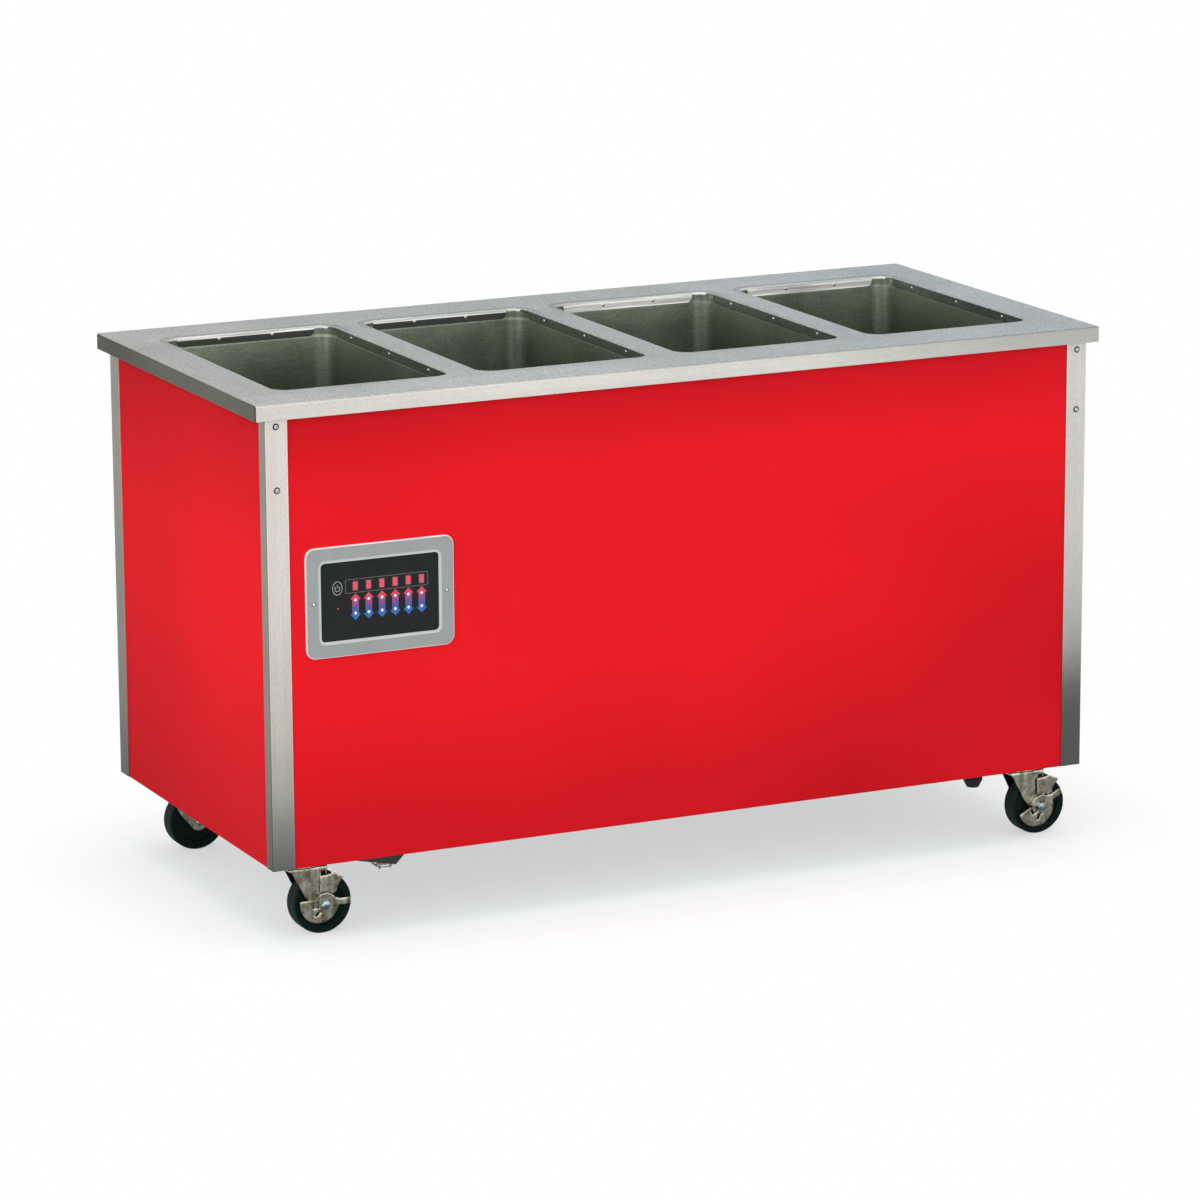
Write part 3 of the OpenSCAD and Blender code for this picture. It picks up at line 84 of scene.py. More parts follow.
def set_stops(ramp, stops):
    """Give a colour ramp its (position, colour) stops."""
    elements = ramp.color_ramp.elements
    while len(elements) < len(stops):
        elements.new(0.5)
    for element, (at, color) in zip(elements, stops):
        element.position = at
        element.color = (*color, 1.0)


def shade(color, factor):
    return tuple(min(1.0, channel * factor) for channel in color)


class Nodes:
    """Short calls that add nodes to a node tree. Each returns the socket that holds its result."""

    def __init__(self, tree):
        self.tree = tree

    def put(self, node, socket, value):
        """Link a value that is a socket, or write one that is a number or a colour."""
        if isinstance(value, bpy.types.NodeSocket):
            self.tree.links.new(value, node.inputs[socket])
        else:
            node.inputs[socket].default_value = value

    def node(self, kind, **settings):
        made = self.tree.nodes.new(kind)
        for key, value in settings.items():
            setattr(made, key, value)
        return made

    def math(self, operation, a, b=0.0):
        made = self.node("ShaderNodeMath", operation=operation)
        self.put(made, 0, a)
        self.put(made, 1, b)
        return made.outputs[0]

    def chain(self, operation, values):
        result = values[0]
        for value in values[1:]:
            result = self.math(operation, result, value)
        return result

    def total(self, *values):
        return self.chain("ADD", values)

    def product(self, *values):
        return self.chain("MULTIPLY", values)

    def either(self, *masks):
        return self.chain("MAXIMUM", masks)

    def less(self, a, b):
        return self.math("SUBTRACT", a, b)

    def opposite(self, mask):
        return self.less(1.0, mask)

    def absolute(self, value):
        return self.math("ABSOLUTE", value)

    def excess(self, value, limit):
        """How far a value is over a limit, else 0."""
        return self.either(self.less(value, limit), 0.0)

    def beyond(self, value, half, middle=0.0):
        """How far a value is more than half away from the middle, else 0."""
        return self.excess(self.absolute(self.less(value, middle)), half)

    def hypotenuse(self, a, b):
        return self.math("SQRT", self.total(self.product(a, a), self.product(b, b)))

    def remap(self, value, low, high, to_low=0.0, to_high=1.0):
        """Take low..high to to_low..to_high, and hold the ends."""
        made = self.node("ShaderNodeMapRange")
        self.put(made, "Value", value)
        self.put(made, "From Min", low)
        self.put(made, "From Max", high)
        self.put(made, "To Min", to_low)
        self.put(made, "To Max", to_high)
        return made.outputs["Result"]

    def curve(self, value, points):
        """Straight stretches through (value, result) points, with results of 0 or more."""
        low, high = points[0][0], points[-1][0]
        ramp = self.node("ShaderNodeValToRGB")
        self.put(ramp, "Fac", self.remap(value, low, high))
        set_stops(ramp, [((at - low) / (high - low), (result, result, result)) for at, result in points])
        return ramp.outputs["Color"]

    def vector(self, operation, a, b=(0.0, 0.0, 0.0), result="Vector"):
        made = self.node("ShaderNodeVectorMath", operation=operation)
        self.put(made, 0, a)
        self.put(made, 1, b)
        return made.outputs[result]

    def toward(self, vector, direction):
        """How much of a vector points in a direction."""
        return self.vector("DOT_PRODUCT", vector, direction, "Value")

    def axis(self, vector, name):
        made = self.node("ShaderNodeSeparateXYZ")
        self.put(made, "Vector", vector)
        return made.outputs[name]

    def place(self, scale=(1.0, 1.0, 1.0), source="Object"):
        """Position in the row frame, in metres, or with Generated within the piece's box, times scale."""
        coordinates = self.node("ShaderNodeTexCoord")
        mapping = self.node("ShaderNodeMapping")
        self.put(mapping, "Vector", coordinates.outputs[source])
        self.put(mapping, "Scale", scale)
        return mapping.outputs["Vector"]

    def axes(self):
        """X, Y and Z of the position in the row frame."""
        position = self.place()
        return [self.axis(position, name) for name in "XYZ"]

    def normal(self, kind="Normal"):
        return self.node("ShaderNodeNewGeometry").outputs[kind]

    def facing(self, direction):
        """1 where the surface faces a direction of the row frame, 0 elsewhere."""
        return self.math("GREATER_THAN", self.toward(self.normal("True Normal"), direction), FACING_LIMIT)

    def rounded_normal(self, radius):
        """The surface's normal, turned near edges as if they were rounded."""
        made = self.node("ShaderNodeBevel", samples=BEVEL_SAMPLES)
        self.put(made, "Radius", radius)
        return made.outputs["Normal"]

    def noise(self, vector, scale=1.0, detail=3.0, roughness=0.55, distortion=0.0):
        made = self.node("ShaderNodeTexNoise")
        self.put(made, "Vector", vector)
        self.put(made, "Scale", scale)
        self.put(made, "Detail", detail)
        self.put(made, "Roughness", roughness)
        self.put(made, "Distortion", distortion)
        return made.outputs["Fac"]

    def spread(self, noise, low=0.0, high=1.0):
        """Take the range that a noise mostly keeps to, to low..high."""
        return self.remap(noise, NOISE_LOW, NOISE_HIGH, low, high)

    def mix(self, factor, a, b):
        """Colour a where factor is 0, colour b where it is 1."""
        made = self.node("ShaderNodeMix", data_type="RGBA")
        self.put(made, 0, factor)
        for socket, color in ((6, a), (7, b)):
            self.put(made, socket, (*color, 1.0) if isinstance(color, tuple) else color)
        return made.outputs[2]

    def mix_vectors(self, factor, a, b):
        made = self.node("ShaderNodeMix", data_type="VECTOR")
        for socket, value in ((0, factor), (4, a), (5, b)):
            self.put(made, socket, value)
        return made.outputs[1]

    def constant(self, color):
        made = self.node("ShaderNodeRGB")
        made.outputs[0].default_value = (*color, 1.0)
        return made.outputs[0]

    def scaled(self, tone, factor):
        """A tone multiplied by a number."""
        made = self.node("ShaderNodeVectorMath", operation="SCALE")
        self.put(made, 0, tone)
        self.put(made, "Scale", factor)
        return made.outputs["Vector"]

    def tinted(self, tone, tint):
        """A tone multiplied by another colour."""
        return self.vector("MULTIPLY", tone, tint)

    def tinted_where(self, mask, tone, tint):
        return self.mix(mask, tone, self.tinted(tone, tint))

    def scaled_where(self, mask, tone, factor):
        return self.mix(mask, tone, self.scaled(tone, factor))

    def darker(self, tone, mask, share):
        """A tone that loses a share of itself where the mask is 1."""
        return self.scaled(tone, self.opposite(self.product(mask, share)))

    def background_rays(self):
        """1 for the rays that show the background: straight to the camera, mirrored, or through glass."""
        rays = self.node("ShaderNodeLightPath").outputs
        return self.either(rays["Is Camera Ray"], rays["Is Glossy Ray"], rays["Is Transmission Ray"])


class Finish(Nodes):
    """A Principled material."""

    def __init__(self, name, color, roughness, metallic=0.0, **sockets):
        self.material = bpy.data.materials.new(name)
        self.material.use_nodes = True
        super().__init__(self.material.node_tree)
        self.shader = self.tree.nodes["Principled BSDF"]
        self.put(self.shader, "Base Color", (*color, 1.0))
        self.put(self.shader, "Roughness", roughness)
        self.put(self.shader, "Metallic", metallic)
        for key, value in sockets.items():
            self.put(self.shader, key.replace("_", " "), value)

    def linked(self, socket):
        """What is linked into one of the shader's sockets."""
        return self.shader.inputs[socket].links[0].from_socket

    def color(self, value):
        self.put(self.shader, "Base Color", value)

    def rough(self, value):
        self.put(self.shader, "Roughness", value)

    def bump(self, height, distance, strength=1.0, edge=0.0):
        """Raise the surface by a height field, over edges rounded by a radius."""
        made = self.node("ShaderNodeBump")
        self.put(made, "Height", height)
        self.put(made, "Distance", distance)
        self.put(made, "Strength", strength)
        if edge:
            self.put(made, "Normal", self.rounded_normal(edge))
        self.put(self.shader, "Normal", made.outputs["Normal"])


# Steel

STREAKS_ALONG, STREAKS_ACROSS = 9.0, 900.0
SPECK_SCALE, SPECK_DEPTH, FEWER_SPECKS_IN_FRONT = 420.0, 0.89, 0.72


def steel(name, color, roughness, grain, specks, edge, turns_on_ends=False):
    """Brushed stainless: streaks along the grain axis, soft clouds, and fine dark specks."""
    g = Finish(name, color, roughness, metallic=1.0)
    stretch = [STREAKS_ACROSS] * 3
    stretch["XYZ".index(grain)] = STREAKS_ALONG
    vector = g.place(stretch)
    if turns_on_ends:
        ends = g.either(g.facing(LEFT), g.facing(RIGHT))
        vector = g.mix_vectors(ends, vector, g.place((STREAKS_ACROSS, STREAKS_ALONG, STREAKS_ACROSS)))
    fine = g.noise(vector, 1.0, 2.0)
    coarse = g.noise(vector, 0.16, 2.0)
    clouds = g.noise(g.place(), 5.0, 3.0, 0.6)
    streak = g.total(g.product(fine, 0.6), g.product(coarse, 0.4))
    tone = g.mix(g.spread(streak), shade(color, 0.90), shade(color, 1.08))
    tone = g.mix(g.remap(clouds, 0.35, 0.7, 0.0, 0.4), tone, shade(color, 0.80))

    speckle = g.noise(g.place((1.0, 0.5, 1.0)), SPECK_SCALE, 2.0, 0.7)
    even = g.remap(speckle, 0.40, 0.62)
    if turns_on_ends:
        even = g.either(even, g.product(g.facing(FRONT), FEWER_SPECKS_IN_FRONT))
    kept = 1.0 - SPECK_DEPTH * specks
    tone = g.mix(even, g.tinted(tone, (kept - 0.03, kept, kept + 0.05)), tone)
    dots = g.noise(g.place(), SPECK_SCALE, 1.0)
    tone = g.mix(g.remap(dots, 0.70, 0.76, 0.0, specks), tone, shade(color, 0.30))
    g.color(tone)

    g.rough(g.total(g.spread(streak, roughness - 0.05, roughness + 0.06), g.spread(clouds, -0.03, 0.05)))
    g.bump(streak, 0.00012, 0.5, edge)
    return g


def satin(name, color, roughness, metallic=0.0, grain=350.0, depth=0.00008, vary=0.08, patch=14.0, edge=0.0,
          **sockets):
    """Even surface with a fine grain and slow patches: paint, plating, plastic and wool."""
    g = Finish(name, color, roughness, metallic, **sockets)
    slow = g.noise(g.place(), patch, 3.0)
    g.color(g.mix(g.spread(slow), shade(color, 1 - vary), shade(color, 1 + vary)))
    g.rough(g.spread(slow, roughness - 0.04, roughness + 0.05))
    g.bump(g.noise(g.place(), grain, 2.0), depth, 0.6, edge)
    return g


# Countertop: painted light and shade on its faces, and on the flanges in its openings

WELL_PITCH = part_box("well_2")[0].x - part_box("well_1")[0].x
WELL_COUNT = 4
OPENING_HALF_WIDTH, OPENING_HALF_DEPTH, OPENING_CORNER = 0.1515, 0.253, 0.028

# In a pair of places a change starts at the first and is complete at the second. A shade is the light lost.
TINT_X = (-0.76, 0.76)
# Painted tints of reflected light, drifting along the length: on the level top, and on the front edge
TOP_LIGHT_TINTS = ((0.985, 0.99, 0.945), (0.865, 0.98, 1.015))
FASCIA_LIGHT_TINTS = ((1.026, 0.96, 0.907), (0.955, 0.95, 0.90))
FASCIA_LIGHT = (
    (-0.76, 1.06), (-0.5, 1.10), (-0.3, 1.17), (-0.1, 1.155), (0.05, 1.16), (0.2, 1.18),
    (0.27, 1.13), (0.34, 1.045), (0.42, 0.975), (0.49, 0.92), (0.57, 0.865), (0.76, 0.86),
)
BEND_Z, BEND_Y, BEND_SHADE = (TOP_Z - 0.0028, TOP_Z - 0.0018), FRONT_Y + 0.001, 0.25

TOP_SHADE = 0.32
FRONT_RAIL_Y = (-0.27, -0.29)
FRONT_LIFT_X, FRONT_LIFT = (-0.2, 0.1), (0.15, 0.06)
BETWEEN_Y, BETWEEN_X = (0.25, 0.19), (0.72, 0.10)
BETWEEN_SHADE_Y, BETWEEN_SHADE = (-0.05, 0.20), (0.0, 0.14)
OUTLINE_START, OUTLINE_END, OUTLINE_SHADE = (0.0018, 0.0030), (0.0130, 0.0095), 0.42
BEHIND_Y = (0.16, 0.24)

END_X, END_Y = LEFT_X + 0.022, (-0.20, 0.24)
END_TINTS = ((0.15, 0.165, 0.105), (0.05, 0.06, 0.02))

FLANGE_ZONE_Y, FLANGE_ZONE_X, FLANGE_TOP_Z = 0.30, 0.72, TOP_Z - 0.0018
# Painted sheen on the leaning back flanges, in bands by height, with its colour and streaks; painted shade on
# unlit back flanges and on side flanges
FLANGE_SHEEN_BANDS = ((0.866, 1.10), (0.872, 1.06), (0.876, 0.70), (0.880, 0.62), (0.8835, 0.95), (0.8872, 0.80))
LIT_FLANGE_Z, UNLIT_FLANGE_SHADE = (TOP_Z - 0.0068, TOP_Z - 0.0058), 0.78
SIDE_FLANGE_SHADE_TINT = (0.58, 0.58, 0.50)
FLANGE_SHEEN_COLOR, FLANGE_TILT = (0.76, 0.755, 0.72), 0.42
FLANGE_STREAKS, FLANGE_STREAKED_SHEEN = (0.38, 0.62), (0.62, 1.16)
FLANGE_LIGHT_X, FLANGE_LIGHT = (0.30, 0.66), (1.0, 0.78)


def opening_distance(g, x, y):
    """Distance outwards from the nearest opening's outline, in metres."""
    folded = g.math("MODULO", g.total(x, WELL_COUNT * WELL_PITCH), WELL_PITCH)
    folded = g.absolute(g.less(folded, WELL_PITCH / 2))
    folded = g.either(folded, g.less(g.absolute(x), (WELL_COUNT - 1) / 2 * WELL_PITCH))
    beyond_x = g.excess(folded, OPENING_HALF_WIDTH - OPENING_CORNER)
    beyond_y = g.beyond(y, OPENING_HALF_DEPTH - OPENING_CORNER)
    return g.less(g.hypotenuse(beyond_x, beyond_y), OPENING_CORNER)


def light_fascia(g, tone, fascia, x, y, z):
    """The turned-down front edge: bright in the middle, with a darker bend above it."""
    bend = g.product(g.remap(z, *BEND_Z), g.math("LESS_THAN", y, BEND_Y))
    tone = g.darker(tone, bend, BEND_SHADE)
    return g.scaled_where(fascia, tone, g.curve(x, FASCIA_LIGHT))


def light_level_top(g, tone, x, y):
    """The level top: light along its front, darker between and behind the openings."""
    level = g.facing(UP)
    lift = g.product(level, g.remap(y, *FRONT_RAIL_Y), g.remap(x, *FRONT_LIFT_X, *FRONT_LIFT))
    tone = g.scaled(tone, g.total(1.0, lift))
    tone = g.darker(tone, level, TOP_SHADE)
    between = g.product(level, g.remap(g.absolute(y), *BETWEEN_Y), g.remap(x, *BETWEEN_X))
    tone = g.darker(tone, between, g.remap(y, *BETWEEN_SHADE_Y, *BETWEEN_SHADE))
    distance = opening_distance(g, x, y)
    outline = g.product(g.remap(distance, *OUTLINE_START), g.remap(distance, *OUTLINE_END))
    return g.darker(tone, g.product(level, outline, g.remap(y, *BEHIND_Y)), OUTLINE_SHADE)


def light_left_end(g, tone, left, x, y):
    """The turned-down left edge, in shade and darker towards the back."""
    end = g.product(left, g.math("LESS_THAN", x, END_X))
    far = g.remap(y, *END_Y)
    return g.tinted_where(end, tone, g.mix(g.product(far, far), *END_TINTS))


def light_flanges(g, tone, front, left, inside, x, z):
    """The openings' back and right flanges: painted shade where unlit, a painted streaked sheen where they
    lean back. Returns the tone and where a flange leans back.
    """
    below = g.math("LESS_THAN", z, FLANGE_TOP_Z)
    back_flange = g.product(front, inside, below)
    # Back flanges catch light in the right-hand wells and near the top in the left-hand ones; elsewhere they
    # get painted shade
    catches_light = g.either(g.math("GREATER_THAN", x, 0.0), g.remap(z, *LIT_FLANGE_Z))
    lean = g.product(back_flange, catches_light)
    tone = g.darker(tone, g.product(back_flange, g.opposite(catches_light)), UNLIT_FLANGE_SHADE)
    # Painted shade on the side flanges
    side = g.product(left, inside, below, g.math("LESS_THAN", g.absolute(x), FLANGE_ZONE_X))
    tone = g.tinted_where(side, tone, SIDE_FLANGE_SHADE_TINT)
    # Painted sheen: bands by height, streaked, fading towards the right
    streaks = g.noise(g.place((7.0, 7.0, 260.0)), 1.0, 2.0, 0.6)
    sheen = g.product(
        g.curve(z, FLANGE_SHEEN_BANDS),
        g.remap(streaks, *FLANGE_STREAKS, *FLANGE_STREAKED_SHEEN),
        g.remap(x, *FLANGE_LIGHT_X, *FLANGE_LIGHT),
    )
    return g.mix(lean, tone, g.scaled(g.constant(FLANGE_SHEEN_COLOR), sheen)), lean


def lean_back(g, lean):
    """Tilt the normal up where a flange leans back, so that it mirrors the light above."""
    tilt = g.node("ShaderNodeCombineXYZ")
    g.put(tilt, "Z", g.product(lean, FLANGE_TILT))
    tilted = g.vector("ADD", g.linked("Normal"), tilt.outputs[0])
    g.put(g.shader, "Normal", g.vector("NORMALIZE", tilted))


def dress_countertop(g):
    """Give the countertop painted tints of reflected light, warmer on its front edge, and paint light and
    shade on it face by face.
    """
    x, y, z = g.axes()
    front, left = g.facing(FRONT), g.facing(LEFT)
    inside = g.math("LESS_THAN", g.absolute(y), FLANGE_ZONE_Y)
    fascia = g.product(front, g.opposite(inside))
    # Painted tints of reflected light, warmer on the front edge than on the level top
    along = g.remap(x, *TINT_X)
    tint = g.mix(fascia, g.mix(along, *TOP_LIGHT_TINTS), g.mix(along, *FASCIA_LIGHT_TINTS))
    tone = g.tinted(g.linked("Base Color"), tint)
    tone = light_fascia(g, tone, fascia, x, y, z)
    tone = light_level_top(g, tone, x, y)
    tone = light_left_end(g, tone, left, x, y)
    tone, lean = light_flanges(g, tone, front, left, inside, x, z)
    g.color(tone)
    lean_back(g, lean)
    return g


# Posts, bezel and screws

LEFT_POST_LIGHT = (
    (0.13, 0.17), (0.20, 0.32), (0.25, 0.50), (0.35, 0.70), (0.45, 0.82), (0.60, 0.94), (0.80, 1.0),
)
RIGHT_POST_LIGHT = (
    (0.13, 0.12), (0.22, 0.13), (0.27, 0.20), (0.35, 0.56), (0.45, 0.80), (0.60, 0.95), (0.80, 1.0),
)
# Painted shade near the floor and on the sides, painted tints from left post to right, painted highlights
# along the front edges
FOOT_Z, FOOT_SHADE_COLOR = (0.35, 0.15), (0.62, 0.67, 0.58)
POST_TINT_X, POST_LIGHT_TINTS = (-0.6, 0.6), ((1.0, 1.0, 1.0), (0.915, 0.965, 0.985))
POST_SIDE_SHADE_TINT = (0.35, 0.37, 0.33)
POST_OUTER_X, POST_INNER_X, POST_EDGE_HIGHLIGHT_TINT = (0.7400, 0.7415), (0.7070, 0.7060), (1.20, 1.16, 1.08)
POST_METALLIC = 0.55

BEZEL_MIDDLE = (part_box("control_bezel")[0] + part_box("control_bezel")[1]) / 2
# A painted highlight, with a smoother and less metallic finish, on the ring round the bezel's window and on
# its rounded edges
RING_HALF_WIDTH, RING_HALF_HEIGHT, RING_REACH, RING_POLISH_AND_HIGHLIGHT = 0.0950, 0.057, (0.0118, 0.0106), 0.44
BEZEL_EDGE_NORMAL, BEZEL_HIGHLIGHT_COLOR = (0.995, 0.90), (0.80, 0.81, 0.81)
SCREW_RIM_NORMAL, SCREW_SHADES = (0.86, 0.97), (0.10, 0.95)


def dress_posts(g):
    """Posts get painted light and shade by height, darkest towards the floor, painted shade on their sides,
    painted tints that differ from the left post to the right and painted highlights along their front edges;
    they are lightly pitted.
    """
    x, _, height = g.axes()
    # Painted shade towards the floor
    tone = g.mix(g.remap(height, *FOOT_Z), g.linked("Base Color"), FOOT_SHADE_COLOR)
    on_the_left = g.math("LESS_THAN", x, 0.0)
    right_light = g.either(g.curve(height, RIGHT_POST_LIGHT), on_the_left)
    tone = g.scaled(tone, g.math("MINIMUM", g.curve(height, LEFT_POST_LIGHT), right_light))
    # Painted tints that differ from the left post to the right, and painted shade on the sides
    tone = g.tinted(tone, g.mix(g.remap(x, *POST_TINT_X), *POST_LIGHT_TINTS))
    tone = g.tinted_where(g.either(g.facing(LEFT), g.facing(RIGHT)), tone, POST_SIDE_SHADE_TINT)
    # Painted highlights along the front edges
    across = g.absolute(x)
    edge_highlights = g.either(g.remap(across, *POST_OUTER_X), g.remap(across, *POST_INNER_X))
    tone = g.tinted_where(g.product(edge_highlights, g.facing(FRONT)), tone, POST_EDGE_HIGHLIGHT_TINT)
    pits = g.noise(g.place(), 430.0, 2.0, 0.6)
    g.color(g.scaled(tone, g.remap(pits, 0.36, 0.66, 0.91, 1.0)))
    g.put(g.shader, "Metallic", POST_METALLIC)
    return g


def dress_bezel(g):
    """The bezel's rounded edges, and a ring round its window, get a painted highlight and are smoother and
    less metallic than its face.
    """
    x, _, z = g.axes()
    rounded_edge = g.remap(g.absolute(g.axis(g.normal(), "Y")), *BEZEL_EDGE_NORMAL)
    beyond_x = g.beyond(x, RING_HALF_WIDTH, BEZEL_MIDDLE.x)
    beyond_z = g.beyond(z, RING_HALF_HEIGHT, BEZEL_MIDDLE.z)
    ring = g.remap(g.hypotenuse(beyond_x, beyond_z), *RING_REACH)
    # Painted highlight on the rounded edges and the ring, which are also smoother and less metallic
    polish_and_highlight = g.either(rounded_edge, g.product(ring, RING_POLISH_AND_HIGHLIGHT))
    g.color(g.mix(polish_and_highlight, g.linked("Base Color"), BEZEL_HIGHLIGHT_COLOR))
    g.rough(g.remap(polish_and_highlight, 0.0, 1.0, 0.32, 0.20))
    g.put(g.shader, "Metallic", g.remap(polish_and_highlight, 0.0, 1.0, 0.7, 0.1))
    return g


def dress_screws(g):
    """Post screws get painted shade round their steep rims."""
    normal = g.normal()
    flat = g.either(g.absolute(g.axis(normal, "X")), g.absolute(g.axis(normal, "Y")))
    g.color(g.scaled(g.linked("Base Color"), g.remap(flat, *SCREW_RIM_NORMAL, *SCREW_SHADES)))
    return g


# Red panels

RED = (0.80, 0.0125, 0.021)
PANEL_MIDDLE, PANEL_HALF_HEIGHT, PANEL_HALF_LENGTH = 0.5, 0.36, 0.70

# A loss starts at its first number and grows by its second for every unit beyond it
CORNER_LOSS, FOOT_LOSS = (0.5, 0.06), (0.2, 0.32)
RIGHT_LOSS, RIGHT_LOSS_LOWER_DOWN = 0.10, 0.18
END_FAR_LOSS, END_UPPER_LOSS, END_LOWER_LOSS = (-0.05, 0.42), (0.35, 0.45), (0.1, 0.30)
END_GAIN = 0.09
END_BACK_Y, END_BACK_LIGHT = (0.10, 0.25), (1.0, 1.04)
RIGHT_X = (0.30, 0.666)
UNDER_THE_TOP = ((0.702, 0.97), (0.760, 0.945), (0.804, 0.855), (0.834, 0.818), (0.856, 0.84))
FRONT_LIGHT = (
    (0.137, 0.92), (0.203, 0.91), (0.262, 0.94), (0.335, 0.955), (0.482, 0.955), (0.628, 0.96),
    *UNDER_THE_TOP,
)
FRONT_LIGHT_AT_RIGHT = (
    (0.137, 1.46), (0.159, 1.39), (0.203, 1.21), (0.262, 1.03), (0.335, 0.90), (0.409, 0.84), (0.482, 0.85),
    (0.555, 0.90), (0.628, 0.934),
    *UNDER_THE_TOP,
)
END_LIGHT = (
    (0.137, 0.92), (0.203, 0.96), (0.277, 1.0), (0.423, 1.04), (0.497, 1.065), (0.716, 1.08), (0.775, 1.09),
    (0.819, 1.11), (0.848, 1.18),
)


def loss(g, value, start, slope):
    return g.product(g.excess(value, start), slope)


def light_red(g, tone):
    """Slow falls of light over the front and the left end, as on the photographed panels."""
    x, y, z = g.axes()
    front, end = g.facing(FRONT), g.facing(LEFT)
    across = g.product(x, 1 / PANEL_HALF_LENGTH)
    up = g.product(g.less(z, PANEL_MIDDLE), 1 / PANEL_HALF_HEIGHT)
    down = g.product(up, -1.0)
    right_slope = g.excess(g.product(down, RIGHT_LOSS_LOWER_DOWN), -RIGHT_LOSS)
    right = g.product(g.excess(across, 0.0), right_slope)
    front_loss = g.total(loss(g, g.less(up, across), *CORNER_LOSS), loss(g, down, *FOOT_LOSS), right)
    end_loss = g.total(
        loss(g, y, *END_FAR_LOSS), loss(g, up, *END_UPPER_LOSS), loss(g, down, *END_LOWER_LOSS))
    lost = g.total(g.product(front, front_loss), g.product(end, end_loss))
    tone = g.scaled(tone, g.less(g.total(1.0, g.product(end, END_GAIN)), lost))
    front_light = g.mix(g.remap(x, *RIGHT_X), g.curve(z, FRONT_LIGHT), g.curve(z, FRONT_LIGHT_AT_RIGHT))
    tone = g.scaled_where(front, tone, front_light)
    end_light = g.product(g.curve(z, END_LIGHT), g.remap(y, *END_BACK_Y, *END_BACK_LIGHT))
    return g.scaled_where(end, tone, end_light)


def red_laminate():
    """Smooth red laminate with a trace of dust."""
    g = Finish("red_laminate", RED, 0.42, IOR=1.05)
    slow = g.noise(g.place(), 2.2, 2.0)
    dust = g.noise(g.place((1.0, 1.0, 0.35)), 60.0, 4.0, 0.7)
    tone = g.mix(g.spread(slow), shade(RED, 0.94), shade(RED, 1.03))
    tone = g.mix(g.remap(dust, 0.55, 0.85, 0.0, 0.015), tone, (0.75, 0.12, 0.12))
    g.color(light_red(g, tone))
    g.rough(g.remap(dust, 0.35, 0.75, 0.38, 0.48))
    g.bump(g.noise(g.place(), 1400.0, 1.0), 0.00003, 0.5, 0.0006)
    return g


# Wheels, casters, wells and wool

RUBBER_COLOR = (0.003, 0.009, 0.008)
SCUFFED_COLOR, TREAD_COLOR = (0.008, 0.017, 0.016), (0.020, 0.034, 0.032)
TREAD_RADII, MOULD_RINGS = (0.470, 0.497), 260.0

LIGHT_FROM, ZINC_EDGE = (-0.14, -0.12, 0.98), 0.0050
ZINC_LIGHT = ((-0.8, 0.30), (-0.3, 0.60), (-0.12, 0.88), (0.13, 1.0), (0.20, 1.6), (0.32, 3.6), (0.50, 5.5))

STAIN_COLOR = (0.41, 0.45, 0.345)
TURNED_IN_START, TURNED_IN_END, TURNED_IN_LIGHT = (0.8680, 0.8695), (0.8740, 0.8730), 0.7
TURNED_IN_X, TURNED_IN_SHARES = (0.06, -0.06), (0.3, 1.0)
WELL_LIGHT = (
    (0.70, 0.56), (0.78, 0.74), (0.83, 0.93), (0.855, 1.05), (0.872, 1.12), (0.875, 0.85), (0.889, 0.80),
)


def rubber():
    """Black tyre: worn grey tread, faint mould rings on its sides."""
    g = Finish("wheel_rubber", RUBBER_COLOR, 0.50, IOR=1.12)
    centred = g.vector("SUBTRACT", g.place(source="Generated"), (0.5, 0.5, 0.5))
    flat = g.vector("MULTIPLY", centred, (1.0, 0.0, 1.0))
    radius = g.vector("LENGTH", flat, result="Value")
    scuffs = g.noise(g.place(), 130.0, 4.0, 0.7)
    tread = g.product(g.remap(radius, *TREAD_RADII), g.remap(scuffs, 0.25, 0.7, 0.45, 1.0))
    tone = g.mix(g.remap(scuffs, 0.45, 0.8, 0.0, 0.35), RUBBER_COLOR, SCUFFED_COLOR)
    g.color(g.mix(tread, tone, TREAD_COLOR))
    g.rough(g.remap(tread, 0.0, 1.0, 0.48, 0.8))
    rings = g.math("SINE", g.product(radius, MOULD_RINGS))
    g.bump(g.total(g.product(rings, 0.25), scuffs), 0.00018, 0.6)
    return g


def zinc(name, color, roughness):
    """Zinc plated pressing: blotched, pitted and wavy, with painted highlights where it turns up to the
    light, painted shade where it turns down, and painted vertical streaks of light and shade.
    """
    g = Finish(name, color, roughness, metallic=1.0)
    patches = g.noise(g.place(), 75.0, 4.0, 0.6, 0.4)
    waves = g.noise(g.place((1.0, 1.0, 0.35)), 48.0, 1.0)
    pits = g.noise(g.place(), 420.0, 2.0)
    streaks = g.noise(g.place((150.0, 150.0, 14.0)), 1.0, 2.0, 0.5)
    brown = (color[0] * 0.55, color[1] * 0.52, color[2] * 0.45)
    tone = g.mix(g.remap(patches, 0.38, 0.64), shade(color, 1.35), brown)
    # Painted highlights where the surface turns up, painted shade where it turns down
    light = g.curve(g.toward(g.rounded_normal(ZINC_EDGE), LIGHT_FROM), ZINC_LIGHT)
    # Real pits, and painted vertical streaks of light and shade
    pits_and_shading_streaks = g.product(g.spread(pits, 0.85, 1.12), g.remap(streaks, 0.35, 0.65, 0.72, 1.30))
    g.color(g.scaled(tone, g.product(pits_and_shading_streaks, light)))
    g.rough(g.spread(patches, roughness - 0.07, roughness + 0.09))
    g.bump(g.total(waves, g.product(patches, 0.10)), 0.0030, 0.8, 0.0006)
    return g


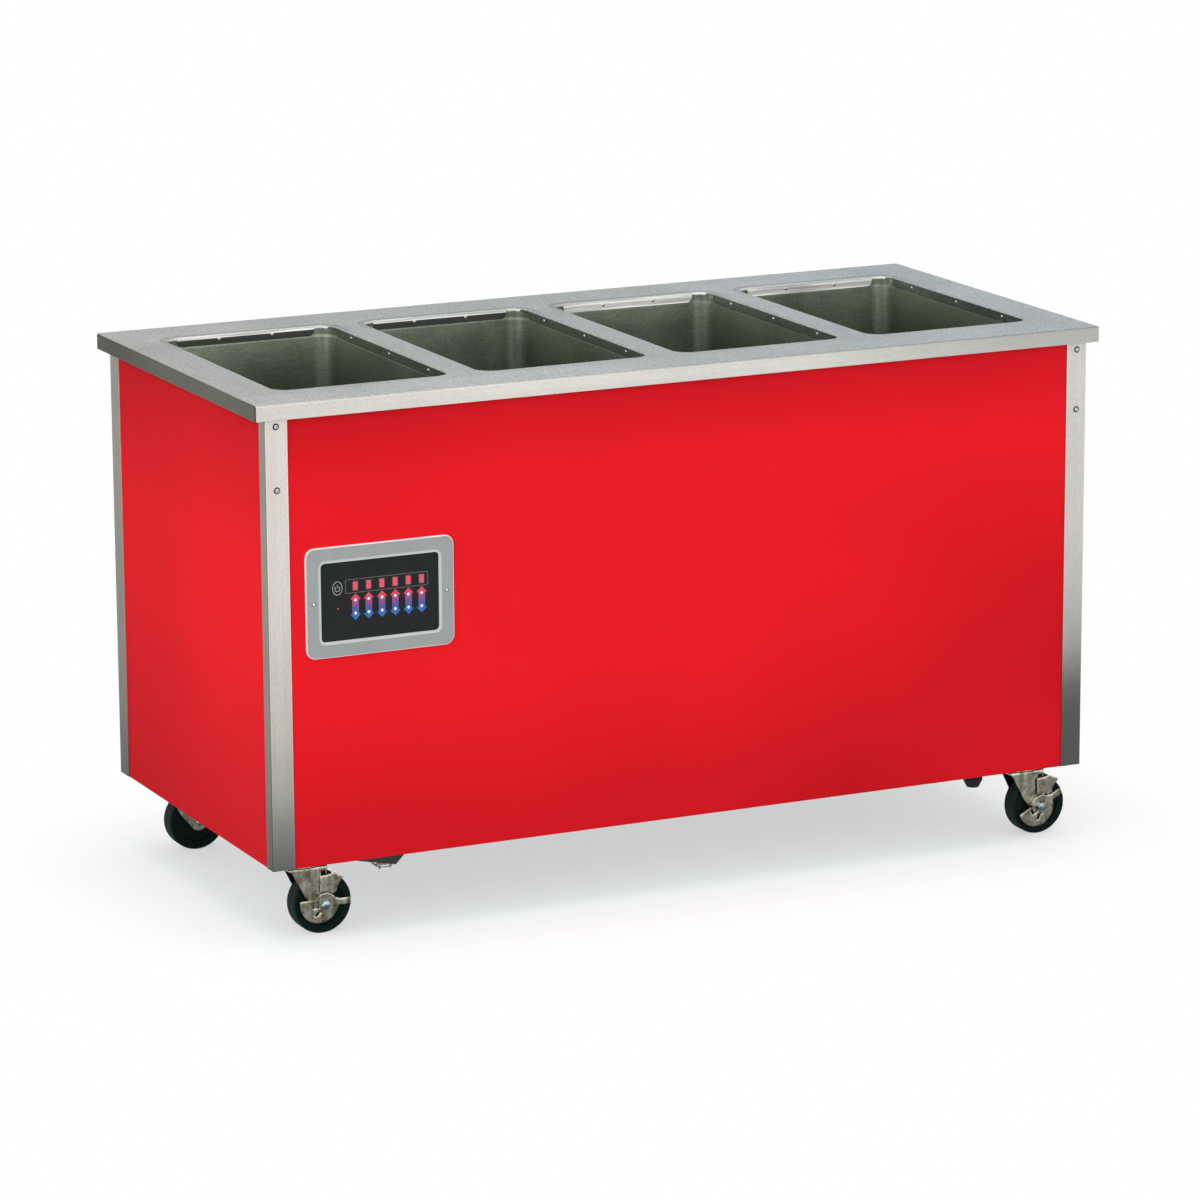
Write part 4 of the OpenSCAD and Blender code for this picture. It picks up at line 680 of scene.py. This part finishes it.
def well_steel():
    """Inside of a well: level brushing, greenish, with soft stains, and painted shade that darkens it towards
    its floor.
    """
    color = (0.50, 0.55, 0.45)
    g = Finish("stainless_well", color, 0.32, metallic=1.0)
    x, _, z = g.axes()
    brushed = g.noise(g.place((30.0, 30.0, 420.0)), 1.0, 3.0, 0.6)
    stains = g.noise(g.place(), 11.0, 4.0, 0.6)
    grain = g.noise(g.place(), 300.0, 2.0)
    tone = g.mix(g.spread(brushed), shade(color, 0.86), shade(color, 1.10))
    tone = g.mix(g.remap(stains, 0.35, 0.7, 0.0, 0.6), tone, STAIN_COLOR)
    # A painted highlight band a little below the top, stronger in the left-hand wells
    turned_in = g.product(
        g.remap(z, *TURNED_IN_START),
        g.remap(z, *TURNED_IN_END),
        g.remap(x, *TURNED_IN_X, *TURNED_IN_SHARES),
    )
    # Painted shade towards the floor, with the painted highlight band
    light = g.product(g.curve(z, WELL_LIGHT), g.total(1.0, g.product(turned_in, TURNED_IN_LIGHT)))
    tone = g.scaled(tone, light)
    g.color(g.scaled(tone, g.remap(grain, 0.38, 0.64, 0.84, 1.10)))
    g.rough(g.spread(stains, 0.28, 0.38))
    g.bump(brushed, 0.00010, 0.4, 0.0006)
    return g


def wool():
    """Mineral wool: pale fibres over brown hollows."""
    g = Finish("mineral_wool", (0.70, 0.60, 0.33), 0.95)
    fibre = g.noise(g.place((600.0, 600.0, 60.0)), 1.0, 4.0, 0.7, 1.5)
    g.color(g.mix(g.spread(fibre), (0.50, 0.40, 0.18), (0.85, 0.78, 0.50)))
    g.bump(fibre, 0.0012, 0.8)
    return g


# Which node wears which material

POLISH = {"metallic": 1.0, "grain": 600.0, "depth": 0.00003, "vary": 0.05, "patch": 80.0}
CAST = {"metallic": 1.0, "grain": 300.0, "depth": 0.00006}
MOULDED = {"grain": 900.0, "depth": 0.00010, "patch": 50.0}

MATERIALS = {
    "top": dress_countertop(steel(
        "stainless_top", (0.65, 0.655, 0.635), 0.36, "X", specks=0.45, edge=0.0010, turns_on_ends=True)),
    "post": dress_posts(steel(
        "stainless_post", (0.79, 0.715, 0.65), 0.34, "Z", specks=0.10, edge=0.0008)),
    "well": well_steel(),
    "screw": dress_screws(satin("screw_steel", (0.66, 0.66, 0.64), 0.22, **POLISH)),
    "rivet": satin("rivet_steel", (0.50, 0.50, 0.47), 0.30, **POLISH),
    "bright": satin("bright_steel", (0.66, 0.66, 0.64), 0.20, edge=0.0003, **POLISH),
    "galvanised": satin(
        "galvanised", (0.48, 0.50, 0.50), 0.45, 1.0, grain=90.0, depth=0.00012, vary=0.22, patch=120.0,
        edge=0.0005),
    "red": red_laminate(),
    "rubber": rubber(),
    "zinc": zinc("zinc_plate", (0.185, 0.182, 0.148), 0.20),
    "blue_zinc": zinc("blue_zinc", (0.105, 0.15, 0.17), 0.20),
    "brass": satin("brass", (0.62, 0.46, 0.19), 0.32, vary=0.12, patch=60.0, edge=0.0004, **CAST),
    "aged_brass": satin("aged_brass", (0.34, 0.30, 0.19), 0.30, vary=0.14, patch=60.0, edge=0.0004, **CAST),
    "copper": satin("copper", (0.58, 0.28, 0.16), 0.36, vary=0.20, patch=30.0, **CAST),
    "dark": satin(
        "dark_sheet", (0.022, 0.031, 0.029), 0.45, grain=500.0, depth=0.00006, vary=0.10, patch=30.0,
        edge=0.0006, IOR=1.35),
    "bezel": dress_bezel(satin(
        "bezel_satin", (0.314, 0.333, 0.338), 0.30, 0.7, grain=1800.0, depth=0.00005, vary=0.04,
        patch=30.0)),
    "overlay": satin(
        "membrane", (0.012, 0.014, 0.015), 0.42, grain=2600.0, depth=0.00004, vary=0.05, patch=30.0,
        IOR=1.22),
    "black_plastic": satin(
        "black_plastic", (0.006, 0.008, 0.008), 0.42, vary=0.08, edge=0.0005, IOR=1.25, **MOULDED),
    "grey_plastic": satin("grey_plastic", (0.55, 0.55, 0.52), 0.40, vary=0.05, edge=0.0004, **MOULDED),
    "board": satin("circuit_board", (0.02, 0.13, 0.05), 0.35, grain=400.0, vary=0.25, patch=200.0),
    "heater": satin(
        "heater_sheath", (0.16, 0.14, 0.13), 0.50, 0.8, grain=300.0, depth=0.00010, vary=0.30, patch=60.0),
    "wool": wool(),
}

FINISH_BY_NAME = {
    "countertop": "top", "well_insulation": "wool", "heating_elements": "heater", "well_drains": "brass",
    "valve_body": "aged_brass", "drain_manifold": "copper", "valve_guard": "dark", "control_bezel": "bezel",
    "control_overlay": "overlay", "control_board": "board", "cord_gland": "black_plastic",
    "power_block": "grey_plastic", "caster_bolts": "blue_zinc", "panel_screws": "screw",
}
FINISH_BY_START = (
    ("post_", "post"), ("well_jacket", "galvanised"), ("well_rivets", "rivet"), ("well_strainers", "bright"),
    ("well_", "well"), ("top_", "galvanised"), ("upper_", "galvanised"), ("base_", "galvanised"),
    ("control_housing", "galvanised"), ("caster_", "zinc"), ("fork", "zinc"), ("brake", "zinc"),
    ("axle", "blue_zinc"), ("wheel", "rubber"),
)


def finish_of(name):
    """Which material a CAD node wears."""
    if name in FINISH_BY_NAME:
        return FINISH_BY_NAME[name]
    if name.endswith("_panel"):
        return "red"
    for start, finish in FINISH_BY_START:
        if name.startswith(start):
            return finish
    return "bright"


def dress_nodes():
    for name, node in nodes.items():
        node.data.materials.clear()
        node.data.materials.append(MATERIALS[finish_of(name)].material)


# The control panel's print: thin raised shapes on the membrane, in mm right of and below its window's corner

WINDOW_LEFT, WINDOW_TOP = -653.5, 624.0
FACE_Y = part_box("control_overlay")[0].y
SINK = 0.05
LINE_THICKNESS = 0.10


def on_membrane(u, v, out):
    """The point right of and below the window's corner, and out of the membrane, all in mm."""
    return (WINDOW_LEFT + u) * MM, FACE_Y - out * MM, (WINDOW_TOP - v) * MM


def print_piece(bm, name, material, smooth=False):
    """Make a closed shape a piece that rides with the counter."""
    bmesh.ops.recalc_face_normals(bm, faces=bm.faces[:])
    mesh = bpy.data.meshes.new(name)
    bm.to_mesh(mesh)
    bm.free()
    for polygon in mesh.polygons:
        polygon.use_smooth = smooth
    piece = bpy.data.objects.new(name, mesh)
    scene.collection.objects.link(piece)
    piece.data.materials.append(material)
    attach(piece, "counter")


def flat_shape(points, name, material, thickness=0.12):
    """A flat shape with an outline of (u, v) points."""
    bm = bmesh.new()
    back = bm.faces.new([bm.verts.new(on_membrane(u, v, -SINK)) for u, v in points])
    grown = bmesh.ops.extrude_face_region(bm, geom=[back])
    for element in grown["geom"]:
        if isinstance(element, bmesh.types.BMVert):
            element.co.y -= (thickness + SINK) * MM
    print_piece(bm, name, material)


def stroke(path, width, name, material, closed=True):
    """A line of one width along a path of (u, v) points."""
    bm = bmesh.new()
    count = len(path)
    rings = []
    for k, (u, v) in enumerate(path):
        before = path[(k - 1) % count] if closed or k else path[k]
        after = path[(k + 1) % count] if closed or k < count - 1 else path[k]
        along = Vector((after[0] - before[0], after[1] - before[1])).normalized()
        side = Vector((-along.y, along.x)) * width / 2
        section = ((1, -SINK), (-1, -SINK), (-1, LINE_THICKNESS), (1, LINE_THICKNESS))
        rings.append([bm.verts.new(on_membrane(u + s * side.x, v + s * side.y, out)) for s, out in section])
    for k in range(count if closed else count - 1):
        near, far = rings[k], rings[(k + 1) % count]
        for i in range(4):
            bm.faces.new((near[i], near[(i + 1) % 4], far[(i + 1) % 4], far[i]))
    if not closed:
        bm.faces.new(rings[0])
        bm.faces.new(rings[-1])
    print_piece(bm, name, material)


DOME_STEPS = 24
DOME_PROFILE = ((-0.05, 1.0), (0.35, 0.94), (0.75, 0.66), (0.95, 0.34))


def domed_key(u, v, diameter, height, name, material):
    """A small embossed dome. Its profile holds shares of the height and of the radius."""
    bm = bmesh.new()
    rings = []
    for level, spread in DOME_PROFILE:
        radius = diameter / 2 * spread
        angles = [2 * math.pi * k / DOME_STEPS for k in range(DOME_STEPS)]
        rings.append([
            bm.verts.new(on_membrane(u + radius * math.cos(a), v - radius * math.sin(a), height * level))
            for a in angles])
    for lower, upper in zip(rings, rings[1:]):
        for k in range(DOME_STEPS):
            after = (k + 1) % DOME_STEPS
            bm.faces.new((lower[k], lower[after], upper[after], upper[k]))
    top = bm.verts.new(on_membrane(u, v, height))
    for k in range(DOME_STEPS):
        bm.faces.new((rings[-1][k], rings[-1][(k + 1) % DOME_STEPS], top))
    bm.faces.new(rings[0])
    print_piece(bm, name, material, smooth=True)


def rounded(u, v, width, height, radius, steps=5):
    """Outline of a rectangle with round corners, about its middle."""
    points = []
    for corner, (sx, sy) in enumerate(((1, 1), (-1, 1), (-1, -1), (1, -1))):
        for k in range(steps + 1):
            a = math.radians(90 * corner + 90 * k / steps)
            points.append((
                u + sx * (width / 2 - radius) + radius * math.cos(a),
                v + sy * (height / 2 - radius) + radius * math.sin(a)))
    return points


def oval(u, v, width, height, steps, start=0.0, sweep=360.0):
    """Points of an ellipse, or of a stretch of one, about its middle."""
    angles = [math.radians(start + sweep * k / steps) for k in range(steps + (sweep < 360))]
    return [(u + width / 2 * math.cos(a), v + height / 2 * math.sin(a)) for a in angles]


FIRST_COLUMN, COLUMN_PITCH, COLUMN_COUNT = 59.8, 22.9, 6
DISPLAY_ROW, FRAME_COLUMN, FRAME_LINE = 41.4, 114.0, 0.55
BORDER_SIZE, GLASS_SIZE, FRAME_SIZE = (11.2, 17.0, 1.2), (8.3, 14.0, 0.8), (142.4, 21.8, 1.5)
BORDER_THICKNESS, GLASS_THICKNESS, ARROW_THICKNESS = 0.08, 0.22, 0.14
ARROW_TIP, ARROW_FOOT, ARROW_HEAD, ARROW_EDGE = 53.7, 97.0, 8.5, 1.2
ARROW_HALF, ARROW_STEM = 8.35, 5.7
KEY_ROWS, KEY_DIAMETER, KEY_HEIGHT = (("up", 64.6), ("down", 86.0)), 5.0, 0.6
POWER_COLUMN, SYMBOL_LINE = 29.0, 0.9


def arrow_outline(u):
    """A two-headed arrow: its right side from tip to foot, then the same mirrored back up."""
    shoulder, hip = ARROW_TIP + ARROW_HEAD, ARROW_FOOT - ARROW_HEAD
    right = [
        (0.0, ARROW_TIP), (ARROW_HALF, shoulder), (ARROW_HALF, shoulder + ARROW_EDGE),
        (ARROW_STEM, shoulder + ARROW_EDGE), (ARROW_STEM, hip - ARROW_EDGE), (ARROW_HALF, hip - ARROW_EDGE),
        (ARROW_HALF, hip), (0.0, ARROW_FOOT),
    ]
    left = [(-across, v) for across, v in reversed(right[1:-1])]
    return [(u + across, v) for across, v in right + left]


def flat_color(name, color, glow=0.0):
    """A flat colour for print and for painted highlights; with glow, a small light."""
    g = Finish(name, color, 0.38, Emission_Color=(*color, 1.0), Emission_Strength=glow)
    slow = g.noise(g.place(), 300.0, 2.0)
    g.color(g.mix(g.spread(slow), shade(color, 0.93), shade(color, 1.05)))
    g.bump(g.noise(g.place(), 2600.0, 2.0), 0.00003, 0.5)
    return g.material


def arrow_ink():
    """Red at the upper tip, purple between, blue at the lower tip."""
    g = Finish("arrow_ink", (0.3, 0.05, 0.3), 0.38)
    _, _, height = g.axes()
    ramp = g.node("ShaderNodeValToRGB")
    g.put(ramp, "Fac", g.remap(height, (WINDOW_TOP - ARROW_FOOT) * MM, (WINDOW_TOP - ARROW_TIP) * MM))
    set_stops(ramp, (
        (0.0, (0.004, 0.14, 0.42)), (0.22, (0.008, 0.12, 0.40)), (0.45, (0.075, 0.060, 0.29)),
        (0.68, (0.34, 0.042, 0.18)), (0.84, (0.66, 0.035, 0.09)), (1.0, (0.72, 0.04, 0.08)),
    ))
    fine = g.noise(g.place(), 900.0, 2.0)
    g.color(g.mix(g.remap(fine, 0.3, 0.8, 0.0, 0.12), ramp.outputs["Color"], (0.02, 0.02, 0.03)))
    g.bump(fine, 0.00003, 0.5)
    return g.material


def display_glass():
    """A lit display window, a little uneven."""
    g = Finish("display_glass", (0.80, 0.055, 0.12), 0.18, Coat_Weight=0.6, Coat_Roughness=0.05)
    slow = g.noise(g.place(), 420.0, 2.0)
    tone = g.mix(g.spread(slow), (0.50, 0.024, 0.056), (0.68, 0.065, 0.11))
    g.color(tone)
    g.put(g.shader, "Emission Color", tone)
    g.put(g.shader, "Emission Strength", 0.15)
    return g.material


def print_displays():
    """Six display windows in a frame, each with a two-headed arrow and two keys under it, the keys' domes
    pale with a painted highlight.
    """
    arrows = arrow_ink()
    glass = display_glass()
    # The keys' pale colour is a painted highlight on their domes
    white = flat_color("painted_key_highlight", (0.80, 0.82, 0.84))
    grey = flat_color("grey_ink", (0.20, 0.205, 0.205))
    dark = flat_color("dark_ink", (0.006, 0.006, 0.007))
    for k in range(COLUMN_COUNT):
        u, tag = FIRST_COLUMN + COLUMN_PITCH * k, str(k + 1)
        border, window = rounded(u, DISPLAY_ROW, *BORDER_SIZE), rounded(u, DISPLAY_ROW, *GLASS_SIZE)
        flat_shape(border, "display_border_" + tag, dark, BORDER_THICKNESS)
        flat_shape(window, "display_" + tag, glass, GLASS_THICKNESS)
        flat_shape(arrow_outline(u), "arrow_" + tag, arrows, ARROW_THICKNESS)
        for end, v in KEY_ROWS:
            domed_key(u, v, KEY_DIAMETER, KEY_HEIGHT, "key_" + end + "_" + tag, white)
    stroke(rounded(FRAME_COLUMN, DISPLAY_ROW, *FRAME_SIZE), FRAME_LINE, "display_frame", grey)


def print_power_symbol():
    """A power symbol in an oval ring, and the status light under it."""
    pale = flat_color("pale_ink", (0.42, 0.43, 0.43))
    red_light = flat_color("red_light", (0.42, 0.035, 0.02), 0.15)
    stroke(oval(POWER_COLUMN, 42.6, 16.4, 21.4, 48), SYMBOL_LINE, "power_ring", pale)
    arc = oval(POWER_COLUMN, 43.4, 8.0, 9.2, 28, start=-52.0, sweep=284.0)
    stroke(arc, SYMBOL_LINE, "power_arc", pale, closed=False)
    flat_shape(rounded(POWER_COLUMN, 39.6, 1.0, 6.0, 0.45), "power_bar", pale)
    domed_key(29.6, 75.8, 3.4, 0.35, "status_light", red_light)


# Stage: floor, background and soft light

FLOOR_HALF = 6.0
SHADOW_HALF_LENGTH, SHADOW_HALF_DEPTH, SHADOW_REACH = 0.70, 0.30, 0.60
SEEN_SHADOW_REACH, SEEN_SHADOW_FADE = 0.35, 0.50
STUDIO_AXIS = (0.10, -0.45, 0.88)
STUDIO_STOPS = (
    (0.0, (0.10, 0.105, 0.10)), (0.22, (0.16, 0.165, 0.16)), (0.42, (0.62, 0.63, 0.62)),
    (0.62, (1.0, 1.0, 0.99)), (1.0, (1.0, 1.0, 1.0)),
)
LAMPS = (
    ("front_softbox", (-0.1, -3.4, 1.7), (-0.1, -0.3, 0.55), (2.6, 1.6), 18.0),
    ("top_softbox", (-0.3, -0.4, 4.2), (0.0, 0.0, 0.5), (3.2, 2.6), 42.0),
    ("left_softbox", (-4.2, -1.8, 2.2), (-0.6, 0.0, 0.45), (2.0, 2.0), 42.0),
)


def make_floor():
    """Pale floor that holds the shadow and fades into the white background away from the counter."""
    corners = [(sx * FLOOR_HALF, sy * FLOOR_HALF, 0.0) for sx, sy in ((-1, -1), (1, -1), (1, 1), (-1, 1))]
    mesh = bpy.data.meshes.new("floor")
    mesh.from_pydata(corners, [], [(0, 1, 2, 3)])
    floor = bpy.data.objects.new("floor", mesh)
    scene.collection.objects.link(floor)
    g = Finish("floor_white", (0.82, 0.87, 0.87), 0.9)
    g.put(g.shader, "Specular IOR Level", 0.0)
    x, y, _ = g.axes()
    reach = g.hypotenuse(g.beyond(x, SHADOW_HALF_LENGTH), g.beyond(y, SHADOW_HALF_DEPTH))
    fade = g.remap(reach, 0.0, SHADOW_REACH)
    fade.node.interpolation_type = "SMOOTHSTEP"
    seen_fade = g.remap(reach, 0.0, SEEN_SHADOW_REACH, SEEN_SHADOW_FADE, 1.0)
    fade = g.either(fade, g.product(g.background_rays(), seen_fade))
    clear = g.node("ShaderNodeBsdfTransparent")
    blend = g.node("ShaderNodeMixShader")
    g.put(blend, "Fac", fade)
    g.put(blend, 1, g.shader.outputs[0])
    g.put(blend, 2, clear.outputs[0])
    g.put(g.tree.nodes["Material Output"], "Surface", blend.outputs[0])
    mesh.materials.append(g.material)


def make_world():
    """White where it is seen or mirrored; as light, a studio bright in front and above, dark low behind."""
    world = bpy.data.worlds.new("studio")
    scene.world = world
    world.use_nodes = True
    world.node_tree.nodes.clear()
    g = Nodes(world.node_tree)
    direction = g.node("ShaderNodeTexCoord").outputs["Generated"]
    ramp = g.node("ShaderNodeValToRGB")
    g.put(ramp, "Fac", g.remap(g.toward(direction, STUDIO_AXIS), -1.0, 1.0))
    set_stops(ramp, STUDIO_STOPS)
    studio, backdrop = g.node("ShaderNodeBackground"), g.node("ShaderNodeBackground")
    g.put(studio, "Color", ramp.outputs["Color"])
    g.put(backdrop, "Color", (1.0, 1.0, 1.0, 1.0))
    for background in (studio, backdrop):
        g.put(background, "Strength", 1.0)
    choose = g.node("ShaderNodeMixShader")
    g.put(choose, "Fac", g.background_rays())
    g.put(choose, 1, studio.outputs[0])
    g.put(choose, 2, backdrop.outputs[0])
    g.put(g.node("ShaderNodeOutputWorld"), "Surface", choose.outputs[0])


def add_lamp(name, place, aim, size, watts):
    data = bpy.data.lights.new(name, "AREA")
    data.shape = "RECTANGLE"
    data.size, data.size_y = size
    data.energy = watts
    lamp = bpy.data.objects.new(name, data)
    lamp.location = place
    lamp.rotation_euler = (Vector(place) - Vector(aim)).to_track_quat("Z", "Y").to_euler()
    scene.collection.objects.link(lamp)


make_camera()
dress_nodes()
print_displays()
print_power_symbol()
make_floor()
make_world()
for lamp in LAMPS:
    add_lamp(*lamp)

scene.view_settings.view_transform = "Standard"
